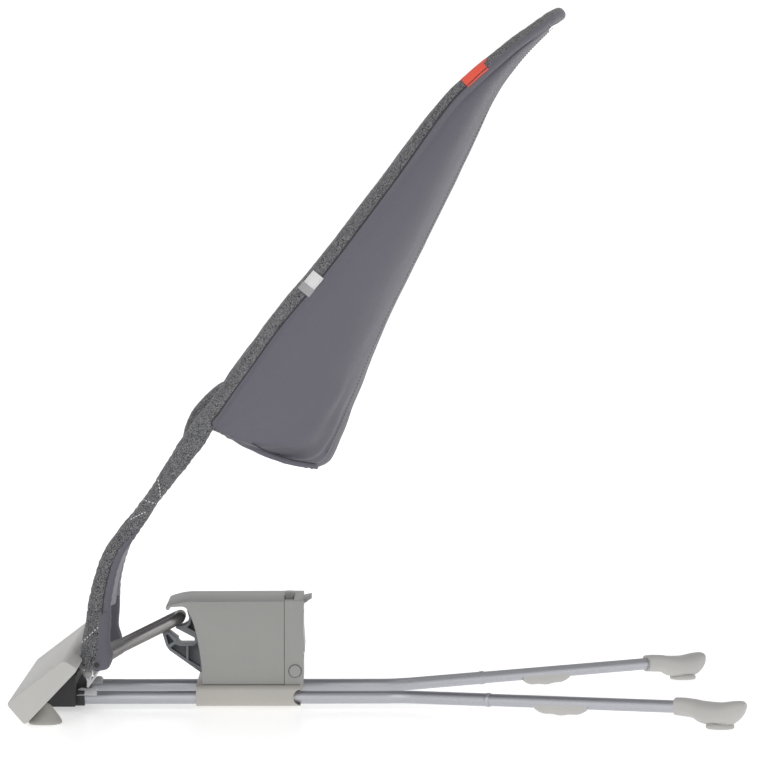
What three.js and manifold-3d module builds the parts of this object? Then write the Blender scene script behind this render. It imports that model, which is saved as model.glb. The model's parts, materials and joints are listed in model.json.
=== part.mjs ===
// A baby bouncer seat: a foot bar and two rails that spread into rear legs, a notch carriage that slides on
// the rails, and a long sling seat that tilts on a cross axle and rests its bail in the carriage's notches.
// Millimetres. +X runs from the foot bar to the head end, +Y to the seated child's right, +Z up.
import * as THREE from "three";
import { mergeVertices } from "three/addons/utils/BufferGeometryUtils.js";
import Module from "manifold-3d";

const wasm = await Module();
wasm.setup();

// ---------- Clearances ----------
const GAP = 0.3; // between faces that touch on the real object
const RUNNING = 0.6; // radial play of a sliding or turning fit
const CUT = 5; // how far a cutting tool runs past what it cuts

// ---------- Foot bar and rails ----------
const FOOT_WIDTH = 410;
const FOOT_CORNERS = [[-392.5, 24], [-332, 70], [-316.5, 60], [-372.5, 1]]; // front, top, back, bottom
const FOOT_CORNER_RADIUS = 5;
const UNDERPLATE_THICKNESS = 2.5;
const UNDERPLATE_MARGIN = 9;
const FRONT_PAD_RADIUS = 18;
const FRONT_PAD_HEIGHT = 22;
const FRONT_PAD_X = -353;
const FRONT_PAD_FROM_END = 26;
const RAIL_SPACING = 114;
const RAIL_RADIUS = 7;
const RAIL_CLEAR_OF_FLOOR = 6;
const RAIL_START_X = -341;
const RAIL_BEND_X = 8; // where the rails start to spread
const RAIL_BEND_LENGTH = 34;
const LEG_ANGLE = THREE.MathUtils.degToRad(27.3);
const LEG_RISE = 8; // how much higher the leg's end is than the rail
const LEG_END_X = 347; // where the leg's middle line ends, inside the shoe
const TUBE_END_X = 329;
const LEG_JOINT_X = 117;
const RING_WALL = 1.1;
const RING_LENGTH = 7;
const SOCKET_HALF_WIDTH = 75;
const SOCKET_END_X = -328;
const SOCKET_NOSE_X = -318; // the socket's middle, between the rails, reaches further back
const SOCKET_BOTTOM = 5;
const SOCKET_TOP = 42;
const SOCKET_NOSE_TOP = 27;

// ---------- Rear feet and glides ----------
const REAR_PAD_RADIUS = 15;
const REAR_PAD_HEIGHT = 4.2;
const REAR_PAD_FROM_LEG_END = 8;
const SHOE_FROM_LEG_END = 41.5;
const GLIDE_X = 192;
const GLIDE_LENGTH = 52;
const GLIDE_WIDTH = 15;
const GLIDE_CLEAR_OF_FLOOR = 1;

// ---------- Pivot ----------
const PIVOT_X = -303;
const PIVOT_Z = 53;
const AXLE_RADIUS = 4;
const HUB_RADIUS = 8.5;
const HUB_HALF_SPAN = 86; // from the middle to each seat hub
const SEAT_HUB_WIDTH = 20;
const BRACKET_THICKNESS = 12;
const BRACKET_SADDLE_LENGTH = 20;
const SADDLE_THICKNESS = 6.5;
const TIE_ROD_RADIUS = 4.5;
const TIE_ROD_OFFSET = [-12.6, -13.5]; // from the pivot
const CAP_LENGTH = 4;
const CAP_RADIUS = 7;

// ---------- Bail ----------
const BAIL_RADIUS = 6;
const BAIL_REACH = 95.3; // pivot to the cross bar
const BAIL_TILT = THREE.MathUtils.degToRad(26.4);
const BAIL_HALF_WIDTH = 24;
const BAIL_CORNER = 10;
const BAIL_ROOT = 11; // where the arms start, from the pivot
const COLLAR_LENGTH = 24;

// ---------- Carriage ----------
const SLEEVE_FRONT_X = -198;
const SLEEVE_BACK_X = -85;
const SLEEVE_BOTTOM = 4;
const SLEEVE_TOP = 27;
const SLEEVE_SIDE_WALL = 6; // outside the rail
const SLEEVE_BITE_RADIUS = 9;
const CARRIAGE_HALF_WIDTH = 62;
const CARRIAGE_TOP = 118;
const CARRIAGE_WALL = 3;
const COVER_SEAM_X = -102.6;
const COVER_BACK_X = -82;
const HOOK_TIP_X = -231;
const HOOK_UNDERSIDE = 112;
const CAM_HALF_THICKNESS = 16.5;
const BUTTON_RADIUS = 6.5;
const BUTTON_X = -91;
const BUTTON_Z = 42;
const BUTTON_PROUD = 1.5; // outside the cover
const BUTTON_LENGTH = 9;
const BUTTON_SPRING_LENGTH = 12;
const LEVER_LENGTH = 9;
const LEVER_HALF_WIDTH = 22;
const LEVER_Z = [110.5, 115.5];
const LEVER_PIN_INSET = 6.5; // inside the cover's back face
const LEVER_TAIL = 4; // past the pin
const CATCH_SIZE = [9, 84, 4.5]; // length, width, height above the carriage
const CATCH_X = -97.6;
const SLIDE_PAD_X = -136;
const SLIDE_PAD_RADIUS = 8;

// ---------- Seat ----------
const SEAT_RISE = 701; // head tube above the pivot
const SEAT_HALF_WIDTH = 202;
const TUBE_RADIUS = 5.5;
const RIM_FABRIC = 2.2;
const TUBE_START = 18; // above the pivot
const BAG_WALL = 2.5;
const BAG_TO_RIM = 3;
const PAD_WALL = 4;
const PAD_TO_BAG = 1.5;
const SLING_THICKNESS = 5;
const SLING_SAG = 8;
const SLING_START = 60; // above the pivot
const SLING_END = 240;
const HEAD_PANEL_HEIGHTS = [657, 664, 672, 680, 687]; // above the pivot
const HEAD_PANEL_THICKNESS = 6;
const HEAD_PANEL_MARGIN = 24; // from its edge to the tube's middle line, measured across
const GUARD_HALF_WIDTH = 46;
const GUARD_THICKNESS = 5;
const GUARD_RANGE = [232, 296]; // heights above the pivot
const BUCKLE_SIZE = [34, 26, 6];
const BUCKLE_BUTTON_RADIUS = 7;
const STRAP_WIDTH = 25;
const STRAP_THICKNESS = 1.6;
const BOOT_WALL = 2.5;
const TAB_THICKNESS = 1.2;

// The seat tube's middle line from the hub upwards: forward, up, and how far it has spread from the hub's
// span (0) to the seat's full half width (1). Drawn for a rise of DRAWN_RISE.
const DRAWN_RISE = 701;
const LOWER_RIM = [
  [0, TUBE_START, 0], [3, 68, 0.02], [9, 96, 0.03], [20, 124, 0.05], [41, 152, 0.1], [62, 182, 0.19],
  [82, 214, 0.3], [103, 245, 0.43], [128.5, 278.4, 0.57], [152.5, 311.4, 0.68], [194.6, 369.5, 0.87],
  [243.7, 428.6, 0.97], [313, 519, 1],
];
// The head end of the same line: forward, up, and the share of the half width.
const UPPER_RIM = [
  [370, 595, 0.955], [399.5, 624.5, 0.89], [420, 642, 0.82], [444.5, 662.5, 0.683], [467, 679, 0.51],
  [491.5, 696, 0.257], [499.5, 700.7, 0.08],
];
// The bag's ribs: the height of the rim where one starts, and the back point that it reaches.
const BAG_RIBS = [
  [247, 122, 249], [266, 180, 224.5], [283, 231, 212], [306, 246, 211], [336, 265, 247],
  [405, 308, 355], [505, 359, 463], [575, 399, 547], [625, 426, 610], [650, 446, 643],
];

// ---------- Colours ----------
const finish = (color, roughness, metalness = 0) =>
  new THREE.MeshStandardMaterial({ color, roughness, metalness });
const PALE_GREY = finish(0xc2c1bd, 0.5);
const CARRIAGE_GREY = finish(0x9b9b99, 0.45);
const CAM_GREY = finish(0x83858a, 0.5);
const DARK_GREY = finish(0x3c3c3e, 0.7);
const STEEL = finish(0xa8a9ae, 0.3, 0.9);
const WHITE = finish(0xe4e4e2, 0.45);
const RUBBER = finish(0xb4b2aa, 0.85);
const RIM_GREY = finish(0x6a6a6c, 0.95);
const NYLON = finish(0x6c6a72, 0.75);
const LINING = finish(0x8f8d95, 0.9);
const CORAL = finish(0xf0604f, 0.7);
const LABEL = finish(0xd8d8d8, 0.6);

// ---------- Shape helpers ----------
const vec = (x, y, z) => new THREE.Vector3(x, y, z);

function closedSurface(positions, triangles) {
  const geometry = new THREE.BufferGeometry();
  geometry.setAttribute("position", new THREE.Float32BufferAttribute(positions, 3));
  geometry.setIndex(triangles);
  return geometry;
}

// Rings of the same even number of points, joined side by side, with both ends closed by strips. The last
// point of a ring faces its first one, so a thin sheet's ends close as well as a round rod's.
function loft(rings) {
  const count = rings[0].length;
  const triangles = [];
  const quad = (a, b, c, d) => triangles.push(a, b, c, a, c, d);
  for (let r = 0; r + 1 < rings.length; r++) {
    for (let i = 0; i < count; i++) {
      const next = (i + 1) % count;
      const corners = [r * count + i, r * count + next, (r + 1) * count + next, (r + 1) * count + i];
      // The far half of a ring is split the other way, so the two sides of a sheet stay parallel.
      if (i >= count / 2) corners.push(corners.shift());
      quad(...corners);
    }
  }
  const last = (rings.length - 1) * count;
  for (let i = 0; i < count / 2 - 1; i++) {
    const facing = count - 1 - i;
    quad(facing, facing - 1, i + 1, i);
    quad(last + i, last + i + 1, last + facing - 1, last + facing);
  }
  const points = rings.flat();
  let volume = 0;
  for (let t = 0; t < triangles.length; t += 3) {
    const [a, b, c] = [points[triangles[t]], points[triangles[t + 1]], points[triangles[t + 2]]];
    volume += a.dot(vec(0, 0, 0).crossVectors(b, c));
  }
  if (volume < 0) triangles.reverse();
  return closedSurface(points.flatMap((p) => [p.x, p.y, p.z]), triangles);
}

// A round rod whose ring stands square to the path at each of its points and doesn't twist along it.
function rod(path, radius, sides = 12) {
  const tangents = path.map((p, i) =>
    vec(0, 0, 0).subVectors(path[Math.min(i + 1, path.length - 1)], path[Math.max(i - 1, 0)]).normalize(),
  );
  const seed = Math.abs(tangents[0].y) > 0.7 ? vec(1, 0, 0) : vec(0, 1, 0);
  const across = seed.clone();
  return loft(path.map((centre, i) => {
    across.addScaledVector(tangents[i], -across.dot(tangents[i])).normalize();
    const up = vec(0, 0, 0).crossVectors(tangents[i], across);
    return Array.from({ length: sides }, (_, s) => {
      const angle = (2 * Math.PI * (s + 0.5)) / sides;
      return centre.clone().addScaledVector(across, radius * Math.cos(angle))
        .addScaledVector(up, radius * Math.sin(angle));
    });
  }));
}

const rodAcross = (x, z, y0, y1, radius, sides = 16) => rod([vec(x, y0, z), vec(x, y1, z)], radius, sides);

// A closed outline with each corner rounded by the given radius.
function outline(corners, radius = 0) {
  const shape = new THREE.Shape();
  const points = corners.map(([x, y]) => new THREE.Vector2(x, y));
  points.forEach((corner, i) => {
    const before = points[(i + points.length - 1) % points.length];
    const after = points[(i + 1) % points.length];
    const reach = (other) => Math.min(radius, corner.distanceTo(other) / 2);
    const towards = (other) => corner.clone().lerp(other, reach(other) / corner.distanceTo(other));
    const start = towards(before);
    if (i === 0) shape.moveTo(start.x, start.y);
    else shape.lineTo(start.x, start.y);
    const end = towards(after);
    if (radius > 0) shape.quadraticCurveTo(corner.x, corner.y, end.x, end.y);
  });
  shape.closePath();
  return shape;
}

// An outline in X and Z, run across from y0 to y1.
function across(shape, y0, y1, curveSegments = 4) {
  const geometry = new THREE.ExtrudeGeometry(shape, { depth: y1 - y0, bevelEnabled: false, curveSegments });
  geometry.applyMatrix4(new THREE.Matrix4().makeBasis(vec(1, 0, 0), vec(0, 0, 1), vec(0, -1, 0)));
  return geometry.translate(0, y1, 0);
}

// An outline in Y and Z, run lengthways from x0 to x1.
function along(shape, x0, x1, curveSegments = 6) {
  const geometry = new THREE.ExtrudeGeometry(shape, { depth: x1 - x0, bevelEnabled: false, curveSegments });
  geometry.applyMatrix4(new THREE.Matrix4().makeBasis(vec(0, 1, 0), vec(0, 0, 1), vec(1, 0, 0)));
  return geometry.translate(x0, 0, 0);
}

function block(x0, x1, y0, y1, z0, z1) {
  return new THREE.BoxGeometry(x1 - x0, y1 - y0, z1 - z0)
    .translate((x0 + x1) / 2, (y0 + y1) / 2, (z0 + z1) / 2);
}

function solid(geometry) {
  const bare = new THREE.BufferGeometry();
  bare.setAttribute("position", geometry.getAttribute("position").clone());
  if (geometry.index) bare.setIndex(geometry.index);
  const merged = mergeVertices(bare, 1e-4);
  return new wasm.Manifold(new wasm.Mesh({
    numProp: 3,
    vertProperties: merged.attributes.position.array,
    triVerts: new Uint32Array(merged.index.array),
  }));
}

function geometryOf(made) {
  const { vertProperties, triVerts } = made.getMesh();
  return closedSurface(Array.from(vertProperties), Array.from(triVerts));
}

const cut = (base, ...tools) =>
  geometryOf(tools.reduce((left, tool) => left.subtract(solid(tool)), solid(base)));
const join = (base, ...more) =>
  geometryOf(more.reduce((left, piece) => left.add(solid(piece)), solid(base)));

// ---------- The object ----------
const bouncer = new THREE.Group();
bouncer.name = "bouncer_seat";

function add(name, geometry, material) {
  const mesh = new THREE.Mesh(geometry, material);
  mesh.name = name;
  bouncer.add(mesh);
  return mesh;
}

// A pair: the geometry is drawn on the child's right, and the left one is its mirror image.
function addPair(name, geometry, material) {
  add(name + "_right", geometry, material);
  add(name + "_left", geometry, material).scale.y = -1;
}

// ---------- Foot bar ----------
const [FOOT_FRONT, FOOT_TOP, FOOT_BACK, FOOT_LOW] = FOOT_CORNERS;
const backSlope = new THREE.Vector2(FOOT_BACK[0] - FOOT_LOW[0], FOOT_BACK[1] - FOOT_LOW[1]).normalize();
const RAIL_Y = RAIL_SPACING / 2;
const RAIL_Z = RAIL_CLEAR_OF_FLOOR + RAIL_RADIUS;

// A point on the foot bar's back face: along it from the bottom corner, and out from it.
function offFootBack(distance, out) {
  return [
    FOOT_LOW[0] + backSlope.x * distance + backSlope.y * out,
    FOOT_LOW[1] + backSlope.y * distance - backSlope.x * out,
  ];
}

function footBackXAt(z, out) {
  const [x, low] = offFootBack(0, out);
  return x + ((z - low) * backSlope.x) / backSlope.y;
}

const BACK_FACE_LENGTH = Math.hypot(FOOT_BACK[0] - FOOT_LOW[0], FOOT_BACK[1] - FOOT_LOW[1]);
const BOOT_HALF_DEPTH = SEAT_HUB_WIDTH / 2 + 5;
const HUB_SWEEP_RADIUS = 26; // the foot bar is hollowed round the pivot to let the boots turn

function buildFoot() {
  const body = across(outline(FOOT_CORNERS, FOOT_CORNER_RADIUS), -FOOT_WIDTH / 2, FOOT_WIDTH / 2);
  const bootRoom = HUB_HALF_SPAN + BOOT_HALF_DEPTH + 6;
  const hubRecess = rodAcross(PIVOT_X, PIVOT_Z, -bootRoom, bootRoom, HUB_SWEEP_RADIUS, 24);
  const plateRecess = across(outline([
    offFootBack(UNDERPLATE_MARGIN, CUT), offFootBack(BACK_FACE_LENGTH - 2 * UNDERPLATE_MARGIN, CUT),
    offFootBack(BACK_FACE_LENGTH - 2 * UNDERPLATE_MARGIN, -UNDERPLATE_THICKNESS - GAP),
    offFootBack(UNDERPLATE_MARGIN, -UNDERPLATE_THICKNESS - GAP),
  ]), UNDERPLATE_MARGIN - FOOT_WIDTH / 2, FOOT_WIDTH / 2 - UNDERPLATE_MARGIN);
  add("front_foot", cut(body, hubRecess, plateRecess), PALE_GREY);
  const inset = UNDERPLATE_MARGIN + GAP;
  add("foot_underplate", across(outline([
    offFootBack(inset, 0), offFootBack(BACK_FACE_LENGTH - UNDERPLATE_MARGIN - inset, 0),
    offFootBack(BACK_FACE_LENGTH - UNDERPLATE_MARGIN - inset, -UNDERPLATE_THICKNESS),
    offFootBack(inset, -UNDERPLATE_THICKNESS),
  ]), inset - FOOT_WIDTH / 2, FOOT_WIDTH / 2 - inset), PALE_GREY);
}

function buildFrontPads() {
  const profile = [[0, 0], [0.88, 0], [1, 0.1], [0.95, 0.2], [0.66, 0.55], [0.36, 0.88], [0.16, 0.98], [0, 1]]
    .map(([r, h]) => new THREE.Vector2(r * FRONT_PAD_RADIUS, h * FRONT_PAD_HEIGHT));
  const dome = new THREE.LatheGeometry(profile, 20);
  dome.rotateX(Math.PI / 2);
  dome.translate(FRONT_PAD_X, FOOT_WIDTH / 2 - FRONT_PAD_FROM_END, 0);
  const footSpace = across(outline([
    offFootBack(-2 * BACK_FACE_LENGTH, GAP), offFootBack(2 * BACK_FACE_LENGTH, GAP),
    offFootBack(2 * BACK_FACE_LENGTH, -FOOT_WIDTH), offFootBack(-2 * BACK_FACE_LENGTH, -FOOT_WIDTH),
  ]), 0, FOOT_WIDTH);
  addPair("front_pad", cut(dome, footSpace), RUBBER);
}

// ---------- Rails and legs ----------
// The middle line of the right-hand rail and leg: straight, then a bend, then straight and rising.
function railPoint(x) {
  const slope = Math.tan(LEG_ANGLE);
  const into = x - RAIL_BEND_X;
  if (into <= 0) return vec(x, RAIL_Y, RAIL_Z);
  const bend = Math.min(into, RAIL_BEND_LENGTH);
  const spread = (slope * bend * bend) / (2 * RAIL_BEND_LENGTH) + slope * (into - bend);
  return vec(x, RAIL_Y + spread, RAIL_Z + (LEG_RISE * into) / (LEG_END_X - RAIL_BEND_X));
}

function railPath(x0, x1) {
  const bendSteps = 6;
  const stops = [x0];
  for (let i = 0; i <= bendSteps; i++) stops.push(RAIL_BEND_X + (RAIL_BEND_LENGTH * i) / bendSteps);
  return stops.filter((x) => x >= x0 && x < x1 - 1).concat(x1).map(railPoint);
}

const legDirection = railPoint(LEG_END_X).sub(railPoint(LEG_JOINT_X)).normalize();

function railBore(x0, x1, play) {
  return rod([vec(x0, RAIL_Y, RAIL_Z), vec(x1, RAIL_Y, RAIL_Z)], RAIL_RADIUS + play, 16);
}

const mirrored = (geometry) => {
  const copy = geometry.clone().scale(1, -1, 1);
  const index = Array.from(copy.index.array);
  return copy.setIndex(index.reverse());
};

function buildRails() {
  addPair("rail", rod(railPath(RAIL_START_X, LEG_JOINT_X), RAIL_RADIUS, 12), STEEL);
  const seam = railPoint(LEG_JOINT_X);
  const legStart = seam.clone().addScaledVector(legDirection, GAP);
  addPair("leg", rod([legStart, railPoint(TUBE_END_X)], RAIL_RADIUS, 12), STEEL);
  const end = (sign) => seam.clone().addScaledVector(legDirection, sign * RING_LENGTH / 2);
  const past = (sign) => seam.clone().addScaledVector(legDirection, sign * RING_LENGTH);
  const ring = rod([end(-1), end(1)], RAIL_RADIUS + GAP + RING_WALL, 16);
  addPair("joint_ring", cut(ring, rod([past(-1), past(1)], RAIL_RADIUS + GAP, 16)), STEEL);
}

function buildRailSocket() {
  const body = across(outline([
    [footBackXAt(SOCKET_BOTTOM, GAP), SOCKET_BOTTOM], [SOCKET_END_X, SOCKET_BOTTOM],
    [SOCKET_END_X, SOCKET_TOP - 4], [footBackXAt(SOCKET_TOP, GAP), SOCKET_TOP],
  ], 1), -SOCKET_HALF_WIDTH, SOCKET_HALF_WIDTH);
  const noseHalf = RAIL_Y - RAIL_RADIUS - 3;
  const nose = block(SOCKET_END_X - CUT, SOCKET_NOSE_X, -noseHalf, noseHalf, SOCKET_BOTTOM, SOCKET_NOSE_TOP);
  const bore = railBore(RAIL_START_X - GAP, SOCKET_END_X + CUT, GAP);
  add("rail_socket", cut(join(body, nose), bore, mirrored(bore)), DARK_GREY);
}

// ---------- Rear feet ----------
// A moulded shoe round the leg's end: distance past the leg's end, half width, underside, top.
const SHOE_SECTIONS = [
  [-SHOE_FROM_LEG_END, 9.2, 11.2, 29.8], [-33, 9.8, 10.6, 30], [-21, 11.8, 9.4, 29.2], [-11, 14.6, 5.2, 27.8],
  [REAR_PAD_FROM_LEG_END, 16.5, 4.6, 27], [20, 15.8, 4.8, 28.8], [28, 13.2, 8.6, 29.8], [33, 10, 15, 29.6],
  [36.5, 5, 21.5, 27.8],
];
const SHOE_SQUARENESS = 0.8; // 1 is an ellipse, and less is squarer

function buildRearFeet() {
  const end = railPoint(LEG_END_X);
  const flat = vec(legDirection.x, legDirection.y, 0).normalize();
  const side = vec(-flat.y, flat.x, 0);
  const lift = end.z - (RAIL_CLEAR_OF_FLOOR + RAIL_RADIUS + LEG_RISE);
  const squared = (value) => Math.sign(value) * Math.abs(value) ** SHOE_SQUARENESS;
  const rings = SHOE_SECTIONS.map(([distance, half, low, high]) =>
    Array.from({ length: 16 }, (_, i) => {
      const angle = (2 * Math.PI * (i + 0.5)) / 16;
      const out = half * squared(Math.cos(angle));
      const spot = end.clone().addScaledVector(flat, distance).addScaledVector(side, out);
      return spot.setZ(lift + (low + high) / 2 + ((high - low) / 2) * squared(Math.sin(angle)));
    }),
  );
  const bore = rod([
    end.clone().addScaledVector(legDirection, -SHOE_FROM_LEG_END - 2 * CUT),
    railPoint(TUBE_END_X).addScaledVector(legDirection, GAP),
  ], RAIL_RADIUS + GAP, 16);
  const pad = end.clone().addScaledVector(flat, REAR_PAD_FROM_LEG_END);
  const padRod = (radius, top) => rod([vec(pad.x, pad.y, 0), vec(pad.x, pad.y, top)], radius, 20);
  const seat = padRod(REAR_PAD_RADIUS - 1.5 + GAP, REAR_PAD_HEIGHT + 2.5);
  addPair("rear_foot", cut(loft(rings), bore, seat), PALE_GREY);
  addPair("rear_pad", cut(padRod(REAR_PAD_RADIUS - 1.5, REAR_PAD_HEIGHT + 2.2),
    rod([vec(pad.x, pad.y, -CUT), vec(pad.x, pad.y, 1)], 5, 12)), RUBBER);
}

function buildGlides() {
  const centre = railPoint(GLIDE_X);
  const angle = Math.atan2(legDirection.y, legDirection.x);
  const body = across(outline([
    [-GLIDE_LENGTH / 2, GLIDE_CLEAR_OF_FLOOR + 4], [-GLIDE_LENGTH / 2 + 8, GLIDE_CLEAR_OF_FLOOR],
    [GLIDE_LENGTH / 2 - 8, GLIDE_CLEAR_OF_FLOOR], [GLIDE_LENGTH / 2, GLIDE_CLEAR_OF_FLOOR + 4],
    [GLIDE_LENGTH / 2, centre.z], [-GLIDE_LENGTH / 2, centre.z],
  ], 3), -GLIDE_WIDTH / 2, GLIDE_WIDTH / 2);
  body.rotateZ(angle).translate(centre.x, centre.y, 0);
  const reach = GLIDE_LENGTH / (2 * legDirection.x);
  const bore = rod([railPoint(GLIDE_X - reach - CUT), railPoint(GLIDE_X + reach + CUT)], RAIL_RADIUS + GAP, 16);
  addPair("glide_pad", cut(body, bore), WHITE);
}

// ---------- Pivot ----------
function buildPivot() {
  const tieX = PIVOT_X + TIE_ROD_OFFSET[0];
  const tieZ = PIVOT_Z + TIE_ROD_OFFSET[1];
  const inner = RAIL_Y - BRACKET_THICKNESS / 2;
  const outer = RAIL_Y + BRACKET_THICKNESS / 2;
  const saddleX = tieX + 1;
  const railTop = RAIL_Z + RAIL_RADIUS + GAP;
  const eye = rodAcross(PIVOT_X, PIVOT_Z, inner, outer, HUB_RADIUS, 16);
  const strut = across(outline([
    [saddleX - 5, railTop], [saddleX + 6, railTop], [PIVOT_X + 5, PIVOT_Z - 5], [PIVOT_X - 6, PIVOT_Z + 4],
    [tieX - 6, tieZ + 2],
  ], 1), inner, outer);
  const tieEye = rodAcross(tieX, tieZ, inner, outer, TIE_ROD_RADIUS + 2.6, 14);
  const saddle = block(saddleX - BRACKET_SADDLE_LENGTH / 2 + 1, saddleX + BRACKET_SADDLE_LENGTH / 2,
    inner, outer, RAIL_Z, RAIL_Z + RAIL_RADIUS + SADDLE_THICKNESS);
  const axleBore = rodAcross(PIVOT_X, PIVOT_Z, inner - CUT, outer + CUT, AXLE_RADIUS + GAP, 16);
  const tieBore = rodAcross(tieX, tieZ, inner - CUT, outer + CUT, TIE_ROD_RADIUS + GAP, 14);
  const bracket = cut(join(eye, strut, tieEye, saddle), axleBore, tieBore,
    railBore(RAIL_START_X, saddleX + BRACKET_SADDLE_LENGTH, GAP));
  addPair("pivot_bracket", bracket, WHITE);
  const axleEnd = HUB_HALF_SPAN + SEAT_HUB_WIDTH / 2 + 1;
  add("pivot_axle", rodAcross(PIVOT_X, PIVOT_Z, -axleEnd, axleEnd, AXLE_RADIUS, 16), STEEL);
  add("tie_rod", rodAcross(tieX, tieZ, -outer - 5, outer + 5, TIE_ROD_RADIUS, 14), STEEL);
  const capStart = axleEnd - 0.7;
  const cap = rodAcross(PIVOT_X, PIVOT_Z, capStart, capStart + CAP_LENGTH, CAP_RADIUS, 14);
  const capBore = rodAcross(PIVOT_X, PIVOT_Z, capStart - CUT, axleEnd + GAP, AXLE_RADIUS + GAP, 14);
  addPair("axle_cap", cut(cap, capBore), DARK_GREY);
}

// ---------- Bail ----------
function bailPoint(distance, y) {
  return vec(PIVOT_X + distance * Math.cos(BAIL_TILT), y, PIVOT_Z + distance * Math.sin(BAIL_TILT));
}

function bailPath() {
  const corner = (sign) => Array.from({ length: 5 }, (_, i) => {
    const angle = (Math.PI / 2) * (i / 4);
    return bailPoint(BAIL_REACH - BAIL_CORNER + BAIL_CORNER * Math.sin(angle),
      sign * (BAIL_HALF_WIDTH - BAIL_CORNER + BAIL_CORNER * Math.cos(angle)));
  });
  return [bailPoint(BAIL_ROOT, BAIL_HALF_WIDTH), ...corner(1), ...corner(-1).reverse(),
    bailPoint(BAIL_ROOT, -BAIL_HALF_WIDTH)];
}

function buildBail() {
  add("bail", rod(bailPath(), BAIL_RADIUS, 12), STEEL);
  const halfLength = RAIL_Y - BRACKET_THICKNESS / 2 - RUNNING;
  const core = rodAcross(PIVOT_X, PIVOT_Z, -halfLength, halfLength, HUB_RADIUS, 16);
  const arm = (sign, from, to, radius) =>
    rod([bailPoint(from, sign * BAIL_HALF_WIDTH), bailPoint(to, sign * BAIL_HALF_WIDTH)], radius, 14);
  const collars = [1, -1].map((sign) => arm(sign, 0, COLLAR_LENGTH, BAIL_RADIUS + 2.5));
  const sockets = [1, -1].map((sign) => arm(sign, BAIL_ROOT - GAP, COLLAR_LENGTH + CUT, BAIL_RADIUS + GAP));
  const bore = rodAcross(PIVOT_X, PIVOT_Z, -halfLength - CUT, halfLength + CUT, AXLE_RADIUS + RUNNING, 16);
  add("hub_core", cut(join(core, ...collars), bore, ...sockets), DARK_GREY);
}

// ---------- Carriage ----------
const SEAM_Z = SLEEVE_TOP + GAP;
// The front edge of the housing, from the hook's root down to the sleeve.
const FRONT_EDGE = [[-207.5, 108.5], [-201.5, 95], [-197.5, 80], [-194.5, 64], [-192.6, 50], [-191.8, 38]];

function buildSleeve() {
  const half = RAIL_Y + RAIL_RADIUS + SLEEVE_SIDE_WALL;
  const section = outline([[-half, SLEEVE_BOTTOM], [half, SLEEVE_BOTTOM], [half, SLEEVE_TOP], [-half, SLEEVE_TOP]],
    (SLEEVE_TOP - SLEEVE_BOTTOM) / 2 - 2);
  const body = along(section, SLEEVE_FRONT_X, SLEEVE_BACK_X);
  const bore = railBore(SLEEVE_FRONT_X - CUT, SLEEVE_BACK_X + CUT, RUNNING);
  const bite = (sign) => rodAcross(SLEEVE_BACK_X + 1, RAIL_Z + 1, sign * RAIL_Y, sign * (half + CUT),
    SLEEVE_BITE_RADIUS, 20);
  const dimple = rod([vec(SLIDE_PAD_X, 0, 0), vec(SLIDE_PAD_X, 0, SLEEVE_BOTTOM + 2)], SLIDE_PAD_RADIUS, 16);
  add("rail_sleeve", cut(body, bore, mirrored(bore), bite(1), bite(-1), dimple), RUBBER);
  const padTop = SLEEVE_BOTTOM + 2 - GAP;
  const pad = rod([vec(SLIDE_PAD_X, 0, SLEEVE_BOTTOM - 2), vec(SLIDE_PAD_X, 0, padTop)],
    SLIDE_PAD_RADIUS - GAP, 16);
  add("slide_pad", pad, WHITE);
}

function housingOutline() {
  const shape = new THREE.Shape();
  shape.moveTo(COVER_SEAM_X, SEAM_Z);
  shape.lineTo(COVER_SEAM_X, CARRIAGE_TOP);
  shape.lineTo(-206, CARRIAGE_TOP - 0.3);
  shape.bezierCurveTo(-218, CARRIAGE_TOP - 0.6, -229, CARRIAGE_TOP - 5, HOOK_TIP_X, 112);
  shape.quadraticCurveTo(HOOK_TIP_X - 0.2, 108, HOOK_TIP_X + 2.6, 108);
  shape.quadraticCurveTo(HOOK_TIP_X + 4.6, 109, HOOK_TIP_X + 5.2, HOOK_UNDERSIDE - 0.6);
  shape.lineTo(-214.5, HOOK_UNDERSIDE);
  shape.quadraticCurveTo(-209.8, HOOK_UNDERSIDE, FRONT_EDGE[0][0], FRONT_EDGE[0][1]);
  shape.splineThru(FRONT_EDGE.slice(1).map(([x, z]) => new THREE.Vector2(x, z)));
  shape.lineTo(-191.8, SEAM_Z);
  shape.closePath();
  return shape;
}

function buildHousing() {
  const body = across(housingOutline(), -CARRIAGE_HALF_WIDTH, CARRIAGE_HALF_WIDTH, 5);
  const inside = CARRIAGE_HALF_WIDTH - CARRIAGE_WALL;
  const hollow = block(FRONT_EDGE[5][0] + CARRIAGE_WALL + 12, COVER_SEAM_X + CUT, -inside, inside,
    SEAM_Z + CARRIAGE_WALL, CARRIAGE_TOP - CARRIAGE_WALL);
  add("carriage_housing", cut(body, hollow), CARRIAGE_GREY);
}

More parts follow.
